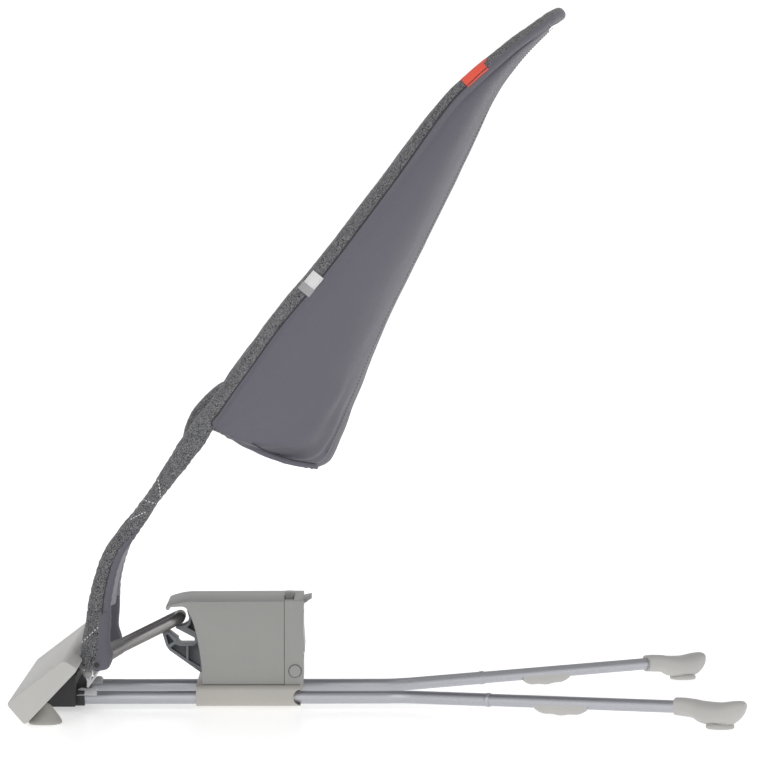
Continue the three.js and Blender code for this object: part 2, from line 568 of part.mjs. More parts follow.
function buildRearCover() {
  const back = COVER_BACK_X;
  const body = across(outline([
    [COVER_SEAM_X + GAP, SEAM_Z], [back, SEAM_Z], [back, 67], [back + 1.5, 61], [back, 82],
    [back, CARRIAGE_TOP], [COVER_SEAM_X + GAP, CARRIAGE_TOP],
  ]), -CARRIAGE_HALF_WIDTH, CARRIAGE_HALF_WIDTH);
  const inside = CARRIAGE_HALF_WIDTH - CARRIAGE_WALL;
  const hollow = block(COVER_SEAM_X - CUT, back - CARRIAGE_WALL, -inside, inside,
    SEAM_Z + CARRIAGE_WALL, CARRIAGE_TOP - CARRIAGE_WALL);
  const buttonHole = rodAcross(BUTTON_X, BUTTON_Z, inside - 3 * CUT, CARRIAGE_HALF_WIDTH + CUT,
    BUTTON_RADIUS + RUNNING, 18);
  const leverSlot = block(back - LEVER_PIN_INSET - LEVER_TAIL - RUNNING, back + CUT,
    -LEVER_HALF_WIDTH - RUNNING, LEVER_HALF_WIDTH + RUNNING, LEVER_Z[0] - 3, LEVER_Z[1] + 1.3);
  const catchHole = block(CATCH_X - CATCH_SIZE[0] / 2 - RUNNING, CATCH_X + CATCH_SIZE[0] / 2 + RUNNING,
    -CATCH_SIZE[1] / 2 - RUNNING, CATCH_SIZE[1] / 2 + RUNNING, CARRIAGE_TOP - CARRIAGE_WALL - CUT,
    CARRIAGE_TOP + CUT);
  add("rear_cover", cut(body, hollow, buttonHole, mirrored(buttonHole), leverSlot, catchHole), CARRIAGE_GREY);
}

// The notch cam, an outline with its rib pockets: an upper notch, a dividing rib and a lower notch.
const CAM_FRONT = [
  [-209.6, 103.5], [-207.3, 95.8], [-208.6, 90], [-213.6, 87], [-221.4, 86.1], [-222, 84.4],
  [-201.6, 73.8], [-200.9, 70.6], [-202.6, 67.2], [-216.8, 67.2], [-219.4, 69.6], [-219.6, 72.6],
  [-231, 81.2], [-236.4, 78.4], [-232.4, 65], [-229, 60], [-194.6, 35.4],
];
const CAM_POCKETS = [
  [[-206.8, 101.5], [-204.6, 95.6], [-206, 88.4], [-209.4, 85], [-201, 80.4], [-199.8, 84]],
  [[-229.8, 76.8], [-232.9, 77.2], [-229.9, 66.2], [-224, 69.4]],
  [[-227.6, 62.6], [-222.6, 66.8], [-217.6, 64.6], [-210.6, 64.6], [-210.6, 50.6]],
  [[-208, 64.6], [-202.4, 64.6], [-198.4, 68.4], [-196.6, 60], [-195, 41.6], [-208, 49]],
];

function camBackXAt(z) {
  const i = FRONT_EDGE.findIndex(([, height]) => height < z);
  if (i <= 0) return FRONT_EDGE[i < 0 ? FRONT_EDGE.length - 1 : 0][0];
  const [x1, z1] = FRONT_EDGE[i - 1];
  const [x2, z2] = FRONT_EDGE[i];
  return x1 + ((x2 - x1) * (z1 - z)) / (z1 - z2);
}

function buildCam() {
  const backHeights = [36, 48, 60, 72, 84, 94, 103.5];
  const back = backHeights.map((z) => [camBackXAt(z) - 1.4, z]);
  const body = across(outline([...CAM_FRONT, ...back]), -CAM_HALF_THICKNESS, CAM_HALF_THICKNESS);
  const webHalf = 1.2; // each pocket leaves a thin web in the middle
  const pockets = CAM_POCKETS.flatMap((corners) => [
    across(outline(corners), webHalf, CAM_HALF_THICKNESS + CUT),
    across(outline(corners), -CAM_HALF_THICKNESS - CUT, -webHalf),
  ]);
  add("notch_cam", cut(body, ...pockets), CAM_GREY);
}

function helix(x, y0, length, z, radius, turns) {
  const steps = turns * 8;
  return Array.from({ length: steps + 1 }, (_, i) => {
    const angle = (2 * Math.PI * i) / 8;
    return vec(x + radius * Math.cos(angle), y0 + (length * i) / steps, z + radius * Math.sin(angle));
  });
}

function buildCarriageControls() {
  const face = CARRIAGE_HALF_WIDTH + BUTTON_PROUD;
  const inner = face - BUTTON_LENGTH;
  const body = rodAcross(BUTTON_X, BUTTON_Z, inner, face, BUTTON_RADIUS, 18);
  const stem = rodAcross(BUTTON_X, BUTTON_Z, inner - 8, inner + 1, 2, 10);
  addPair("release_button", join(body, stem), CARRIAGE_GREY);
  const wire = 0.6;
  const spring = rod(helix(BUTTON_X, inner - GAP - wire - BUTTON_SPRING_LENGTH, BUTTON_SPRING_LENGTH,
    BUTTON_Z, BUTTON_RADIUS - 2, 4), wire, 6);
  addPair("button_spring", spring, STEEL);
  const [lowZ, topZ] = LEVER_Z;
  const pinX = COVER_BACK_X - LEVER_PIN_INSET;
  const pinZ = (lowZ + topZ) / 2;
  const lever = across(outline([
    [pinX - LEVER_TAIL, lowZ], [COVER_BACK_X + 4, lowZ], [COVER_BACK_X + LEVER_LENGTH, lowZ + 3],
    [COVER_BACK_X + LEVER_LENGTH, topZ], [pinX - LEVER_TAIL, topZ],
  ], 1.2), -LEVER_HALF_WIDTH, LEVER_HALF_WIDTH);
  const pinBore = rodAcross(pinX, pinZ, -LEVER_HALF_WIDTH - CUT, LEVER_HALF_WIDTH + CUT, 1.5 + GAP, 10);
  add("release_lever", cut(lever, pinBore), CARRIAGE_GREY);
  const pinHalf = CARRIAGE_HALF_WIDTH - CARRIAGE_WALL - GAP;
  add("lever_pin", rodAcross(pinX, pinZ, -pinHalf, pinHalf, 1.5, 10), STEEL);
  const [length, width, proud] = CATCH_SIZE;
  add("top_catch", block(CATCH_X - length / 2, CATCH_X + length / 2, -width / 2, width / 2,
    CARRIAGE_TOP - 3.5, CARRIAGE_TOP + proud), CARRIAGE_GREY);
}

// ---------- Seat frame ----------
const riseScale = SEAT_RISE / DRAWN_RISE;
const seatPoint = (forward, up, y) => vec(PIVOT_X + forward * riseScale, y, PIVOT_Z + up * riseScale);

const rimCurve = new THREE.CatmullRomCurve3([
  ...LOWER_RIM.map(([forward, up, spread]) =>
    seatPoint(forward, up, HUB_HALF_SPAN + spread * (SEAT_HALF_WIDTH - HUB_HALF_SPAN))),
  ...UPPER_RIM.map(([forward, up, share]) => seatPoint(forward, up, share * SEAT_HALF_WIDTH)),
], false, "centripetal");

// The rim's middle point at a height above the pivot, on the child's right.
function rimAt(up) {
  const target = PIVOT_Z + up * riseScale;
  let [low, high] = [0, 1];
  for (let i = 0; i < 40; i++) {
    const middle = (low + high) / 2;
    if (rimCurve.getPoint(middle).z < target) low = middle;
    else high = middle;
  }
  return rimCurve.getPoint(low);
}

const SLEEVE_OUTER = TUBE_RADIUS + GAP + RIM_FABRIC;
const rimHeights = [62, 80, 98, 116, 134, 152, 172, 194, 218, 245, 275, 310, 350, 395, 445, 500, 555, 595,
  622, 640, 655, 668, 680, 690, 697];

function buildSeatFrame() {
  const path = [rimCurve.getPoint(0), seatPoint(1.4, 45, HUB_HALF_SPAN + 1), ...rimHeights.map(rimAt)];
  // The two halves of the loop meet at the head, square to the middle plane.
  const meeting = [seatPoint(500, 701, 6), seatPoint(500, 701, GAP)];
  addPair("seat_tube", rod([...path, ...meeting], TUBE_RADIUS, 8), STEEL);
  const sleevePath = [...rimHeights.map(rimAt), ...meeting];
  const bore = rod([seatPoint(1.4, 45, HUB_HALF_SPAN + 1), ...sleevePath,
    seatPoint(500, 701, -CUT)], TUBE_RADIUS + GAP, 8);
  addPair("rim_sleeve", cut(rod(sleevePath, SLEEVE_OUTER, 10), bore), RIM_GREY);
}

function buildSeatHubs() {
  const y0 = HUB_HALF_SPAN - SEAT_HUB_WIDTH / 2;
  const y1 = HUB_HALF_SPAN + SEAT_HUB_WIDTH / 2 - 1;
  const ring = rodAcross(PIVOT_X, PIVOT_Z, y0, y1, HUB_RADIUS - 1, 16);
  const start = rimCurve.getPoint(0);
  const end = seatPoint(1.4, 45, HUB_HALF_SPAN + 1);
  const stem = rod([vec(PIVOT_X, HUB_HALF_SPAN, PIVOT_Z), start.clone().lerp(end, 0.9)], TUBE_RADIUS + 2.6, 12);
  const tubeBore = rod([start.clone().add(vec(0, 0, -GAP)), end, rimAt(70)], TUBE_RADIUS + GAP, 12);
  const bore = rodAcross(PIVOT_X, PIVOT_Z, y0 - CUT, y1 + CUT, AXLE_RADIUS + GAP, 16);
  addPair("seat_hub", cut(join(ring, stem), tubeBore, bore), DARK_GREY);
}

// A fabric boot round each seat hub: height above the pivot, forward, half length, half width. It is drawn for
// a hub of DRAWN_HUB_RADIUS and a seat of DRAWN_RISE.
const DRAWN_HUB_RADIUS = 8.5;
const BOOT_SECTIONS = [
  [-9, -1, 13, 12], [-2, -1.5, 18, 14], [14, -1.5, 20, 15], [34, 0, 17, 14.5], [56, 1.5, 12, 12],
];

function bootRings(inset, stretch) {
  const fuller = HUB_RADIUS - DRAWN_HUB_RADIUS;
  return BOOT_SECTIONS.map(([drawnUp, forward, halfLength, halfWidth], i) => {
    const up = drawnUp > 0 ? (drawnUp * SEAT_RISE) / DRAWN_RISE : drawnUp - fuller;
    const shift = i === 0 ? -stretch : i === BOOT_SECTIONS.length - 1 ? stretch : 0;
    return Array.from({ length: 14 }, (_, k) => {
      const angle = (2 * Math.PI * (k + 0.5)) / 14;
      return vec(PIVOT_X + forward + (halfLength + fuller - inset) * Math.cos(angle),
        HUB_HALF_SPAN + (halfWidth + fuller - inset) * Math.sin(angle), PIVOT_Z + up + shift);
    });
  });
}

function buildBoots() {
  const axleHole = rodAcross(PIVOT_X, PIVOT_Z, RAIL_Y, HUB_HALF_SPAN + BOOT_HALF_DEPTH + CUT,
    CAP_RADIUS + 1, 14);
  addPair("hub_boot", cut(loft(bootRings(0, 0)), loft(bootRings(BOOT_WALL, CUT)), axleHole), RIM_GREY);
}

// ---------- Soft seat ----------
// A rib of the bag or of the pad inside it: points from one edge down round the back and up to the other.
function ribSection(rim, back, inset) {
  const depth = Math.hypot(back.x - rim.x, back.z - rim.z);
  const reach = (depth - inset) / depth;
  const half = rim.y - SLEEVE_OUTER - BAG_TO_RIM - inset;
  const count = 12;
  return Array.from({ length: count }, (_, i) => {
    const angle = (Math.PI * i) / (count - 1);
    const flatness = 0.72; // under 1 squares the section's corners
    const sideways = Math.sign(Math.cos(angle)) * Math.abs(Math.cos(angle)) ** flatness;
    const down = Math.sin(angle) ** flatness * reach;
    return vec(rim.x + (back.x - rim.x) * down, half * sideways, rim.z + (back.z - rim.z) * down);
  });
}

function bucket(inset, wall) {
  return loft(BAG_RIBS.map(([up, forward, backUp]) => {
    const rim = rimAt(up);
    const back = seatPoint(forward, backUp, 0);
    return [...ribSection(rim, back, inset), ...ribSection(rim, back, inset + wall).reverse()];
  }));
}

// A sheet hung between the two arms, with its middle sagging backwards.
function hungSheet(heights, halfWidthAt, front, back, sag) {
  return loft(heights.map((up) => {
    const here = rimAt(up);
    const ahead = rimAt(up + 2).sub(rimAt(up - 2)).setY(0).normalize();
    const outward = vec(-ahead.z, 0, ahead.x); // to the child's side of the sheet
    const half = halfWidthAt(here.y);
    const row = (offset) => Array.from({ length: 6 }, (_, i) => {
      const share = -1 + (2 * i) / 5;
      return vec(here.x, half * share, here.z)
        .addScaledVector(outward, offset - sag * (1 - share * share));
    });
    return [...row(front), ...row(back).reverse()];
  }));
}

function buildSoftSeat() {
  add("seat_bag", bucket(0, BAG_WALL), NYLON);
  add("seat_pad", bucket(BAG_WALL + PAD_TO_BAG, PAD_WALL), LINING);
  const slingHeights = [SLING_START, 90, 120, 150, 180, 210, SLING_END];
  const inside = (y) => y - SLEEVE_OUTER - BAG_TO_RIM;
  add("leg_sling", hungSheet(slingHeights, inside, SLING_THICKNESS / 2, -SLING_THICKNESS / 2, SLING_SAG),
    LINING);
  add("head_panel", hungSheet(HEAD_PANEL_HEIGHTS, (y) => y - HEAD_PANEL_MARGIN, HEAD_PANEL_THICKNESS / 2,
    -HEAD_PANEL_THICKNESS / 2, 3), RIM_GREY);
  const [low, high] = GUARD_RANGE;
  const guardHeights = [low, low + 20, low + 42, high];
  const guardFront = SLING_THICKNESS / 2 + 1 + GUARD_THICKNESS;
  add("crotch_guard", hungSheet(guardHeights, () => GUARD_HALF_WIDTH, guardFront,
    SLING_THICKNESS / 2 + 1, 0), RIM_GREY);
}

function buildHarness() {
  const [low, high] = GUARD_RANGE;
  const spot = rimAt((low + high) / 2).setY(0);
  const ahead = rimAt(high).sub(rimAt(low)).setY(0).normalize();
  const tilt = Math.atan2(ahead.x, ahead.z);
  const guardFace = SLING_THICKNESS / 2 + 1 + GUARD_THICKNESS;
  const [width, height, depth] = BUCKLE_SIZE;
  // Local axes: x out of the guard towards the child, y across, z up along the guard.
  const placed = (geometry) => geometry.rotateY(tilt + Math.PI).translate(spot.x, 0, spot.z);
  const face = guardFace + GAP + depth;
  const shell = block(guardFace + GAP, face, -width / 2, width / 2, -height / 2, height / 2);
  const holeRadius = BUCKLE_BUTTON_RADIUS + RUNNING;
  const hole = new THREE.CylinderGeometry(holeRadius, holeRadius, 14, 18)
    .rotateZ(Math.PI / 2).translate(face + 2, 0, 0);
  const button = new THREE.CylinderGeometry(BUCKLE_BUTTON_RADIUS, BUCKLE_BUTTON_RADIUS, 3, 18)
    .rotateZ(Math.PI / 2).translate(face - 0.8, 0, 0);
  add("buckle", placed(cut(shell, hole)), DARK_GREY);
  add("buckle_button", placed(button), CARRIAGE_GREY);
  const strapEnd = rimAt(high + 60);
  const startY = GUARD_HALF_WIDTH + 1;
  const endY = strapEnd.y - SLEEVE_OUTER - BAG_TO_RIM - BAG_WALL - PAD_TO_BAG - PAD_WALL - 6;
  const startSpot = rimAt(high - STRAP_WIDTH / 2 - 4);
  const steps = 6;
  const rings = Array.from({ length: steps + 1 }, (_, i) => {
    const share = i / steps;
    const bow = 8 * Math.sin(Math.PI * share);
    const centre = startSpot.clone().lerp(strapEnd, share).setY(startY + (endY - startY) * share);
    centre.x -= bow * 0.75;
    centre.z += bow * 0.66;
    const corner = (upward, outward) => centre.clone().addScaledVector(ahead, (upward * STRAP_WIDTH) / 2)
      .add(vec(-ahead.z * outward * STRAP_THICKNESS, 0, ahead.x * outward * STRAP_THICKNESS));
    return [corner(-1, 0), corner(1, 0), corner(1, 1), corner(-1, 1)];
  });
  addPair("waist_strap", loft(rings), DARK_GREY);
}

// Two plain fabric tabs sewn into the rim on the child's left.
function buildTabs() {
  const tab = (name, up, length, drop, material) => {
    const spot = rimAt(up);
    const ahead = rimAt(up + 8).sub(rimAt(up - 8)).normalize();
    const forward = vec(-ahead.z, 0, ahead.x).normalize();
    const outward = vec(0, 0, 0).crossVectors(forward, ahead);
    const geometry = new THREE.BoxGeometry(length, TAB_THICKNESS, drop);
    geometry.applyMatrix4(new THREE.Matrix4().makeBasis(ahead, outward, forward));
    spot.addScaledVector(outward, SLEEVE_OUTER + TAB_THICKNESS / 2 + 1);
    geometry.translate(spot.x, spot.y, spot.z);
    add(name, mirrored(geometry), material);
  };
  tab("coral_tab", 630, 30, 12, CORAL);
  tab("loop_label", 414, 30, 12, LABEL);
}

buildFoot();
buildFrontPads();
buildRailSocket();
buildRails();
buildRearFeet();
buildGlides();
buildPivot();
buildBail();
buildSleeve();
buildHousing();
buildRearCover();
buildCam();
buildCarriageControls();
buildSeatFrame();
buildSeatHubs();
buildBoots();
buildSoftSeat();
buildHarness();
buildTabs();

// The origin is the middle of the object's box, on the floor.
const box = new THREE.Box3().setFromObject(bouncer);
bouncer.position.set(-(box.min.x + box.max.x) / 2, 0, -box.min.z);

export default bouncer;
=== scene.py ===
import json
import math

import bmesh
import bpy
import numpy as np
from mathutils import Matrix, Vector, noise


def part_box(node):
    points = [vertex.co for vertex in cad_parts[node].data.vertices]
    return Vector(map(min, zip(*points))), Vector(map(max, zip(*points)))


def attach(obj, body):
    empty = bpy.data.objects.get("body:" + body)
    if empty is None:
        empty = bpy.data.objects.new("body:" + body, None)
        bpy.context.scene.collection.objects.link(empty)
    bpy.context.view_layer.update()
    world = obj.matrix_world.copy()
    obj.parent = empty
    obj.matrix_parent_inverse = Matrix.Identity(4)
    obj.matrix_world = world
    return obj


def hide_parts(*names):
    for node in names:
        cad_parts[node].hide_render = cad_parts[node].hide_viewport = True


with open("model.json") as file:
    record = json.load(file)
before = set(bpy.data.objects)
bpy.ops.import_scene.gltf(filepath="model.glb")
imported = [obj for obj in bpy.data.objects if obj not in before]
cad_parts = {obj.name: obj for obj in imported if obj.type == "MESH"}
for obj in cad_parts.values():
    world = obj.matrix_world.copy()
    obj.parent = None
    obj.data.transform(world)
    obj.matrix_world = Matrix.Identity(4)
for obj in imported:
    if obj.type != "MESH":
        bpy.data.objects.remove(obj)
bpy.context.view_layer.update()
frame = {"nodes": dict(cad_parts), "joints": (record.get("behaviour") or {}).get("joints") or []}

# ---------------------------------------------------------------- datum
# Seat places are given from the pivot axle: forward, up and across, in millimetres. Places on the base are
# given in the drawing's own X, Y and Z, where the axle lies at DRAWN_PIVOT_X.
PIVOT = Vector(next(j for j in frame["joints"] if j["name"] == "seat_recline")["pos_m"])
DRAWN_PIVOT_X = -303
MM = 0.001
SIDES = {"left": -1, "right": 1}


def seat_spot(forward, up, across=0.0):
    return Vector((PIVOT.x + forward * MM, across * MM, PIVOT.z + up * MM))


def base_spot(x, y, z):
    return Vector((PIVOT.x + (x - DRAWN_PIVOT_X) * MM, y * MM, z * MM))


# ---------------------------------------------------------------- shader maths
class Socket:
    """A node's output, with arithmetic that adds Math nodes."""

    def __init__(self, paint, link):
        self.paint = paint
        self.link = link

    def maths(self, operation, other):
        return self.paint.node("ShaderNodeMath", {"operation": operation}, {0: self, 1: other})

    def __add__(self, other):
        return self.maths("ADD", other)

    def __mul__(self, other):
        return self.maths("MULTIPLY", other)

    __radd__ = __add__
    __rmul__ = __mul__


class Paint:
    """A material with one Principled shader. Constants sit on the shader's own sockets."""

    def __init__(self, name, **constants):
        self.material = bpy.data.materials.new(name)
        self.material.use_nodes = True
        self.tree = self.material.node_tree
        self.shader = self.tree.nodes["Principled BSDF"]
        for key, value in constants.items():
            self.shader.inputs[key.replace("_", " ")].default_value = value

    def node(self, kind, settings, sockets, output=0):
        made = self.tree.nodes.new(kind)
        for key, value in settings.items():
            if key == "stops":
                self.set_stops(made.color_ramp, value)
            else:
                setattr(made, key, value)
        for key, value in sockets.items():
            if isinstance(value, Socket):
                self.tree.links.new(value.link, made.inputs[key])
            else:
                made.inputs[key].default_value = value
        return Socket(self, made.outputs[output])

    def set_stops(self, ramp, stops):
        while len(ramp.elements) < len(stops):
            ramp.elements.new(1.0)
        for element, (position, shade) in zip(ramp.elements, stops):
            element.position = position
            element.color = (shade, shade, shade, 1)

    def place(self, scale=(1, 1, 1), turn=0.0):
        """Object coordinates, turned about the cross axis and stretched."""
        spot = self.node("ShaderNodeTexCoord", {}, {}, "Object")
        turned = {"Vector": spot, "Rotation": (0, turn, 0)}
        spot = self.node("ShaderNodeMapping", {}, turned)
        return self.node("ShaderNodeMapping", {}, {"Vector": spot, "Scale": scale})

    def noise(self, spot, scale, detail=3.0, roughness=0.55):
        sockets = {"Vector": spot, "Scale": scale, "Detail": detail, "Roughness": roughness}
        return self.node("ShaderNodeTexNoise", {}, sockets)

    def cells(self, spot, scale):
        return self.node("ShaderNodeTexVoronoi", {}, {"Vector": spot, "Scale": scale})

    def ramp(self, value, *stops):
        return self.node("ShaderNodeValToRGB", {"stops": stops}, {"Fac": value})

    def mix(self, factor, first, second):
        colours = {"Factor": factor, 6: first, 7: second}
        return self.node("ShaderNodeMix", {"data_type": "RGBA"}, colours, 2)

    def bump(self, height, distance, strength=1.0):
        sockets = {"Height": height, "Distance": distance, "Strength": strength}
        self.feed("Normal", self.node("ShaderNodeBump", {}, sockets))

    def feed(self, name, value):
        self.tree.links.new(value.link, self.shader.inputs[name])

    def tint(self, value, colour, darkest, lightest):
        self.feed("Base Color", self.mix(value, shade(colour, darkest), shade(colour, lightest)))


def srgb(code):
    """A colour from its six hexadecimal digits, as linear red, green, blue and alpha."""
    parts = [int(code[i:i + 2], 16) / 255 for i in (0, 2, 4)]
    return tuple(c / 12.92 if c <= 0.04045 else ((c + 0.055) / 1.055) ** 2.4 for c in parts) + (1,)


def shade(colour, factor):
    return tuple(min(1.0, c * factor) for c in colour[:3]) + (1,)


# ---------------------------------------------------------------- materials
SEAT_TURN = math.radians(49)  # the seat's lean, which its fabrics' grain follows


def moulded_plastic(name, code, roughness=0.42, grain=0.00005):
    """Satin moulded plastic: a fine spark-eroded grain, slight colour drift and scuffs."""
    paint = Paint(name, Roughness=roughness, Specular_IOR_Level=0.45)
    colour = srgb(code)
    spot = paint.place()
    drift = paint.noise(spot, 14, 3)
    fine = paint.noise(spot, 1900, 2)
    scuffs = paint.ramp(paint.noise(paint.place((60, 60, 500), 0.6), 1.0, 4), (0.62, 0.0), (0.72, 1.0))
    tone = drift * 0.7 + fine * 0.3
    paint.tint(tone, colour, 0.94, 1.06)
    paint.feed("Roughness", fine * 0.12 + scuffs * 0.05 + (roughness - 0.07))
    paint.bump(fine, grain)
    return paint.material


def drawn_steel(name, code, roughness, streak):
    """Drawn tube: lengthways streaks in colour and roughness."""
    paint = Paint(name, Metallic=1.0)
    colour = srgb(code)
    lines = paint.noise(paint.place(streak), 1.0, 4, 0.6)
    smudge = paint.noise(paint.place(), 22, 3)
    paint.tint(lines, colour, 0.86, 1.12)
    paint.feed("Roughness", lines * 0.10 + smudge * 0.10 + (roughness - 0.1))
    paint.bump(lines, 0.00002)
    return paint.material


def soft_rubber(name, code):
    paint = Paint(name, Roughness=0.8, Specular_IOR_Level=0.3)
    colour = srgb(code)
    fine = paint.noise(paint.place(), 900, 3)
    dust = paint.noise(paint.place(), 60, 4)
    paint.tint(dust, colour, 0.9, 1.08)
    paint.feed("Roughness", fine * 0.15 + 0.72)
    paint.bump(fine, 0.00008)
    return paint.material


def melange_knit(name, dark, light, grain=1.0):
    """Melange jersey: pale and dark fibres in short crosswise flecks over a fine knit relief."""
    paint = Paint(name, Roughness=0.95, Specular_IOR_Level=0.15, Sheen_Weight=0.25, Sheen_Roughness=0.5)
    stretched = paint.place((880 * grain, 620 * grain, 1300 * grain), SEAT_TURN)
    fleck = paint.noise(stretched, 1.0, 3, 0.7)
    patches = paint.noise(paint.place(), 120, 3)
    loops = paint.cells(paint.place((620, 620, 900), SEAT_TURN), 1.0)
    tone = paint.ramp(fleck * 0.92 + patches * 0.08, (0.43, 0.0), (0.58, 1.0))
    hairs = paint.ramp(paint.noise(stretched, 2.3, 2, 0.8), (0.64, 0.0), (0.72, 1.0))
    base = paint.mix(tone, srgb(dark), srgb(light))
    paint.feed("Base Color", paint.mix(hairs * 0.55, base, shade(srgb(light), 1.5)))
    paint.bump(loops * 0.6 + fleck * 0.4, 0.0005)
    return paint.material


def woven_nylon(name, code):
    """Smooth tight-woven nylon: a hair-fine weave, faint sheen and soft crumpling."""
    paint = Paint(name, Roughness=0.62, Specular_IOR_Level=0.3, Sheen_Weight=0.18, Sheen_Roughness=0.4)
    colour = srgb(code)
    spot = paint.place((1, 1, 1), SEAT_TURN)
    weft = paint.node("ShaderNodeTexWave", {"bands_direction": "Z"}, {"Vector": spot, "Scale": 420.0})
    warp = paint.node("ShaderNodeTexWave", {"bands_direction": "Y"}, {"Vector": spot, "Scale": 420.0})
    crumple = paint.noise(paint.place((10, 10, 5), SEAT_TURN), 1.0, 4, 0.5)
    cloud = paint.noise(spot, 5, 2)
    tone = cloud * 0.5 + crumple * 0.5
    paint.tint(tone, colour, 0.93, 1.08)
    paint.feed("Roughness", crumple * 0.14 + 0.54)
    paint.bump(weft * warp * 0.02 + crumple, 0.004)
    return paint.material


def soft_lining(name, code):
    paint = Paint(name, Roughness=0.95, Specular_IOR_Level=0.15, Sheen_Weight=0.3, Sheen_Roughness=0.5)
    colour = srgb(code)
    mesh = paint.cells(paint.place((700, 700, 700), SEAT_TURN), 1.0)
    cloud = paint.noise(paint.place(), 9, 3)
    paint.tint(cloud, colour, 0.92, 1.08)
    paint.bump(mesh, 0.0004)
    return paint.material


def woven_tape(name, code, pitch=1200.0):
    """Narrow woven tape or webbing: ribs across it and a slightly fuzzy face."""
    paint = Paint(name, Roughness=0.85, Specular_IOR_Level=0.2, Sheen_Weight=0.2)
    colour = srgb(code)
    ribs = paint.node("ShaderNodeTexWave", {"bands_direction": "Z"},
                      {"Vector": paint.place((1, 1, 1), SEAT_TURN), "Scale": pitch / 6, "Distortion": 0.6})
    fuzz = paint.noise(paint.place(), 700, 3)
    paint.tint(ribs * 0.5 + fuzz * 0.5, colour, 0.86, 1.1)
    paint.bump(ribs * 0.7 + fuzz * 0.3, 0.0003)
    return paint.material


def bright_thread(name, code):
    paint = Paint(name, Roughness=0.6, Specular_IOR_Level=0.4)
    twist = paint.noise(paint.place(), 1500, 2)
    paint.feed("Base Color", paint.mix(twist, shade(srgb(code), 0.8), srgb(code)))
    return paint.material


PALE = moulded_plastic("pale_moulding", "BCBBB8", 0.44)
CARRIAGE = moulded_plastic("carriage_moulding", "9A9A97", 0.42)
SLEEVE = moulded_plastic("sleeve_moulding", "B7B4AE", 0.4)
CAM = moulded_plastic("cam_moulding", "7E8287", 0.45)
DARK = moulded_plastic("dark_moulding", "3A3A3C", 0.6, 0.00012)
WHITE = moulded_plastic("white_moulding", "E6E6E8", 0.3)
RAIL_STEEL = drawn_steel("rail_steel", "BABBC0", 0.42, (6, 500, 500))
BAIL_STEEL = drawn_steel("bail_steel", "9A9998", 0.42, (6, 500, 500))
# The front pads' rubber takes their tone in shade: the rubber's own colour darkened by painted shade.
SHADED_PAD_RUBBER = soft_rubber("pad_rubber", "A9A7A1")
RIM_KNIT = melange_knit("rim_knit", "2C2C2E", "8A8A8C")
# A dark nylon used only to paint the shade in the seams.
SEAM_SHADE_NYLON = woven_nylon("seam_shadow_nylon", "3A393D")
GUARD_KNIT = melange_knit("guard_knit", "303033", "8C8C8E")
NYLON = woven_nylon("bag_nylon", "65636C")
LINING = soft_lining("lining_jersey", "9A98A0")
PAD_FACE = soft_lining("pad_jersey", "8B8A90")
WEBBING = woven_tape("strap_webbing", "4E4E52")
CORAL = woven_tape("coral_tape", "F2604E")
LABEL = woven_tape("label_tape", "DCDCDC")
LABEL_GREY = woven_tape("label_grey", "A4A4A6")
THREAD = bright_thread("white_thread", "F4F4F4")
GREY_THREAD = bright_thread("grey_thread", "58585B")


# ---------------------------------------------------------------- mesh helpers
def link_mesh(name, vertices, faces, material, smooth=True):
    mesh = bpy.data.meshes.new(name)
    mesh.from_pydata([tuple(v) for v in vertices], [], faces)
    mesh.materials.append(material)
    mesh.polygons.foreach_set("use_smooth", [smooth] * len(mesh.polygons))
    mesh.update()
    made = bpy.data.objects.new(name, mesh)
    bpy.context.scene.collection.objects.link(made)
    return made


def flatten(piece):
    """Applies every modifier of a piece and leaves a plain mesh."""
    graph = bpy.context.evaluated_depsgraph_get()
    graph.update()
    mesh = bpy.data.meshes.new_from_object(piece.evaluated_get(graph))
    made = bpy.data.objects.new(piece.name + "_made", mesh)
    name = piece.name
    bpy.context.scene.collection.objects.link(made)
    bpy.data.objects.remove(piece)
    made.name = name
    return made


def crease(piece, degrees=35):
    """Smooth shading that breaks at edges sharper than the angle."""
    mesh = piece.data
    work = bmesh.new()
    work.from_mesh(mesh)
    for face in work.faces:
        face.smooth = True
    for edge in work.edges:
        edge.smooth = not edge.is_manifold or edge.calc_face_angle(0) < math.radians(degrees)
    work.to_mesh(mesh)
    work.free()
    return piece


def grid_piece(name, rows, material, closed=False, caps=False):
    """A skin through rows of points. closed joins each row's ends; caps fills the first and last rows."""
    count = len(rows[0])
    vertices = [p for row in rows for p in row]
    faces = []
    for r in range(len(rows) - 1):
        for i in range(count if closed else count - 1):
            j = (i + 1) % count
            faces.append((r * count + i, r * count + j, (r + 1) * count + j, (r + 1) * count + i))
    if caps:
        faces.append(tuple(reversed(range(count))))
        faces.append(tuple(range((len(rows) - 1) * count, len(rows) * count)))
    return outward(link_mesh(name, vertices, faces, material))


def outward(piece):
    """Turns a closed piece's faces outwards."""
    work = bmesh.new()
    work.from_mesh(piece.data)
    bmesh.ops.recalc_face_normals(work, faces=work.faces)
    work.to_mesh(piece.data)
    work.free()
    return piece


def modified(piece, kind, **settings):
    step = piece.modifiers.new(kind.lower(), kind)
    for key, value in settings.items():
        setattr(step, key, value)
    return piece


def spline(points, count):
    """A smooth curve through the points, as evenly spaced rows of numbers."""
    given = np.array(points, dtype=float)
    ends = np.vstack([2 * given[0] - given[1], given, 2 * given[-1] - given[-2]])
    dense = []
    for i in range(1, len(ends) - 2):
        a, b, c, d = ends[i - 1:i + 3]
        for t in np.linspace(0, 1, 24, endpoint=False):
            dense.append(0.5 * (2 * b + (c - a) * t + (2 * a - 5 * b + 4 * c - d) * t * t
                                + (3 * b - a - 3 * c + d) * t ** 3))
    dense.append(ends[-2])
    dense = np.array(dense)
    length = np.concatenate([[0], np.cumsum(np.linalg.norm(np.diff(dense[:, :3], axis=0), axis=1))])
    wanted = np.linspace(0, length[-1], count)
    return np.stack([np.interp(wanted, length, dense[:, k]) for k in range(dense.shape[1])], axis=1)


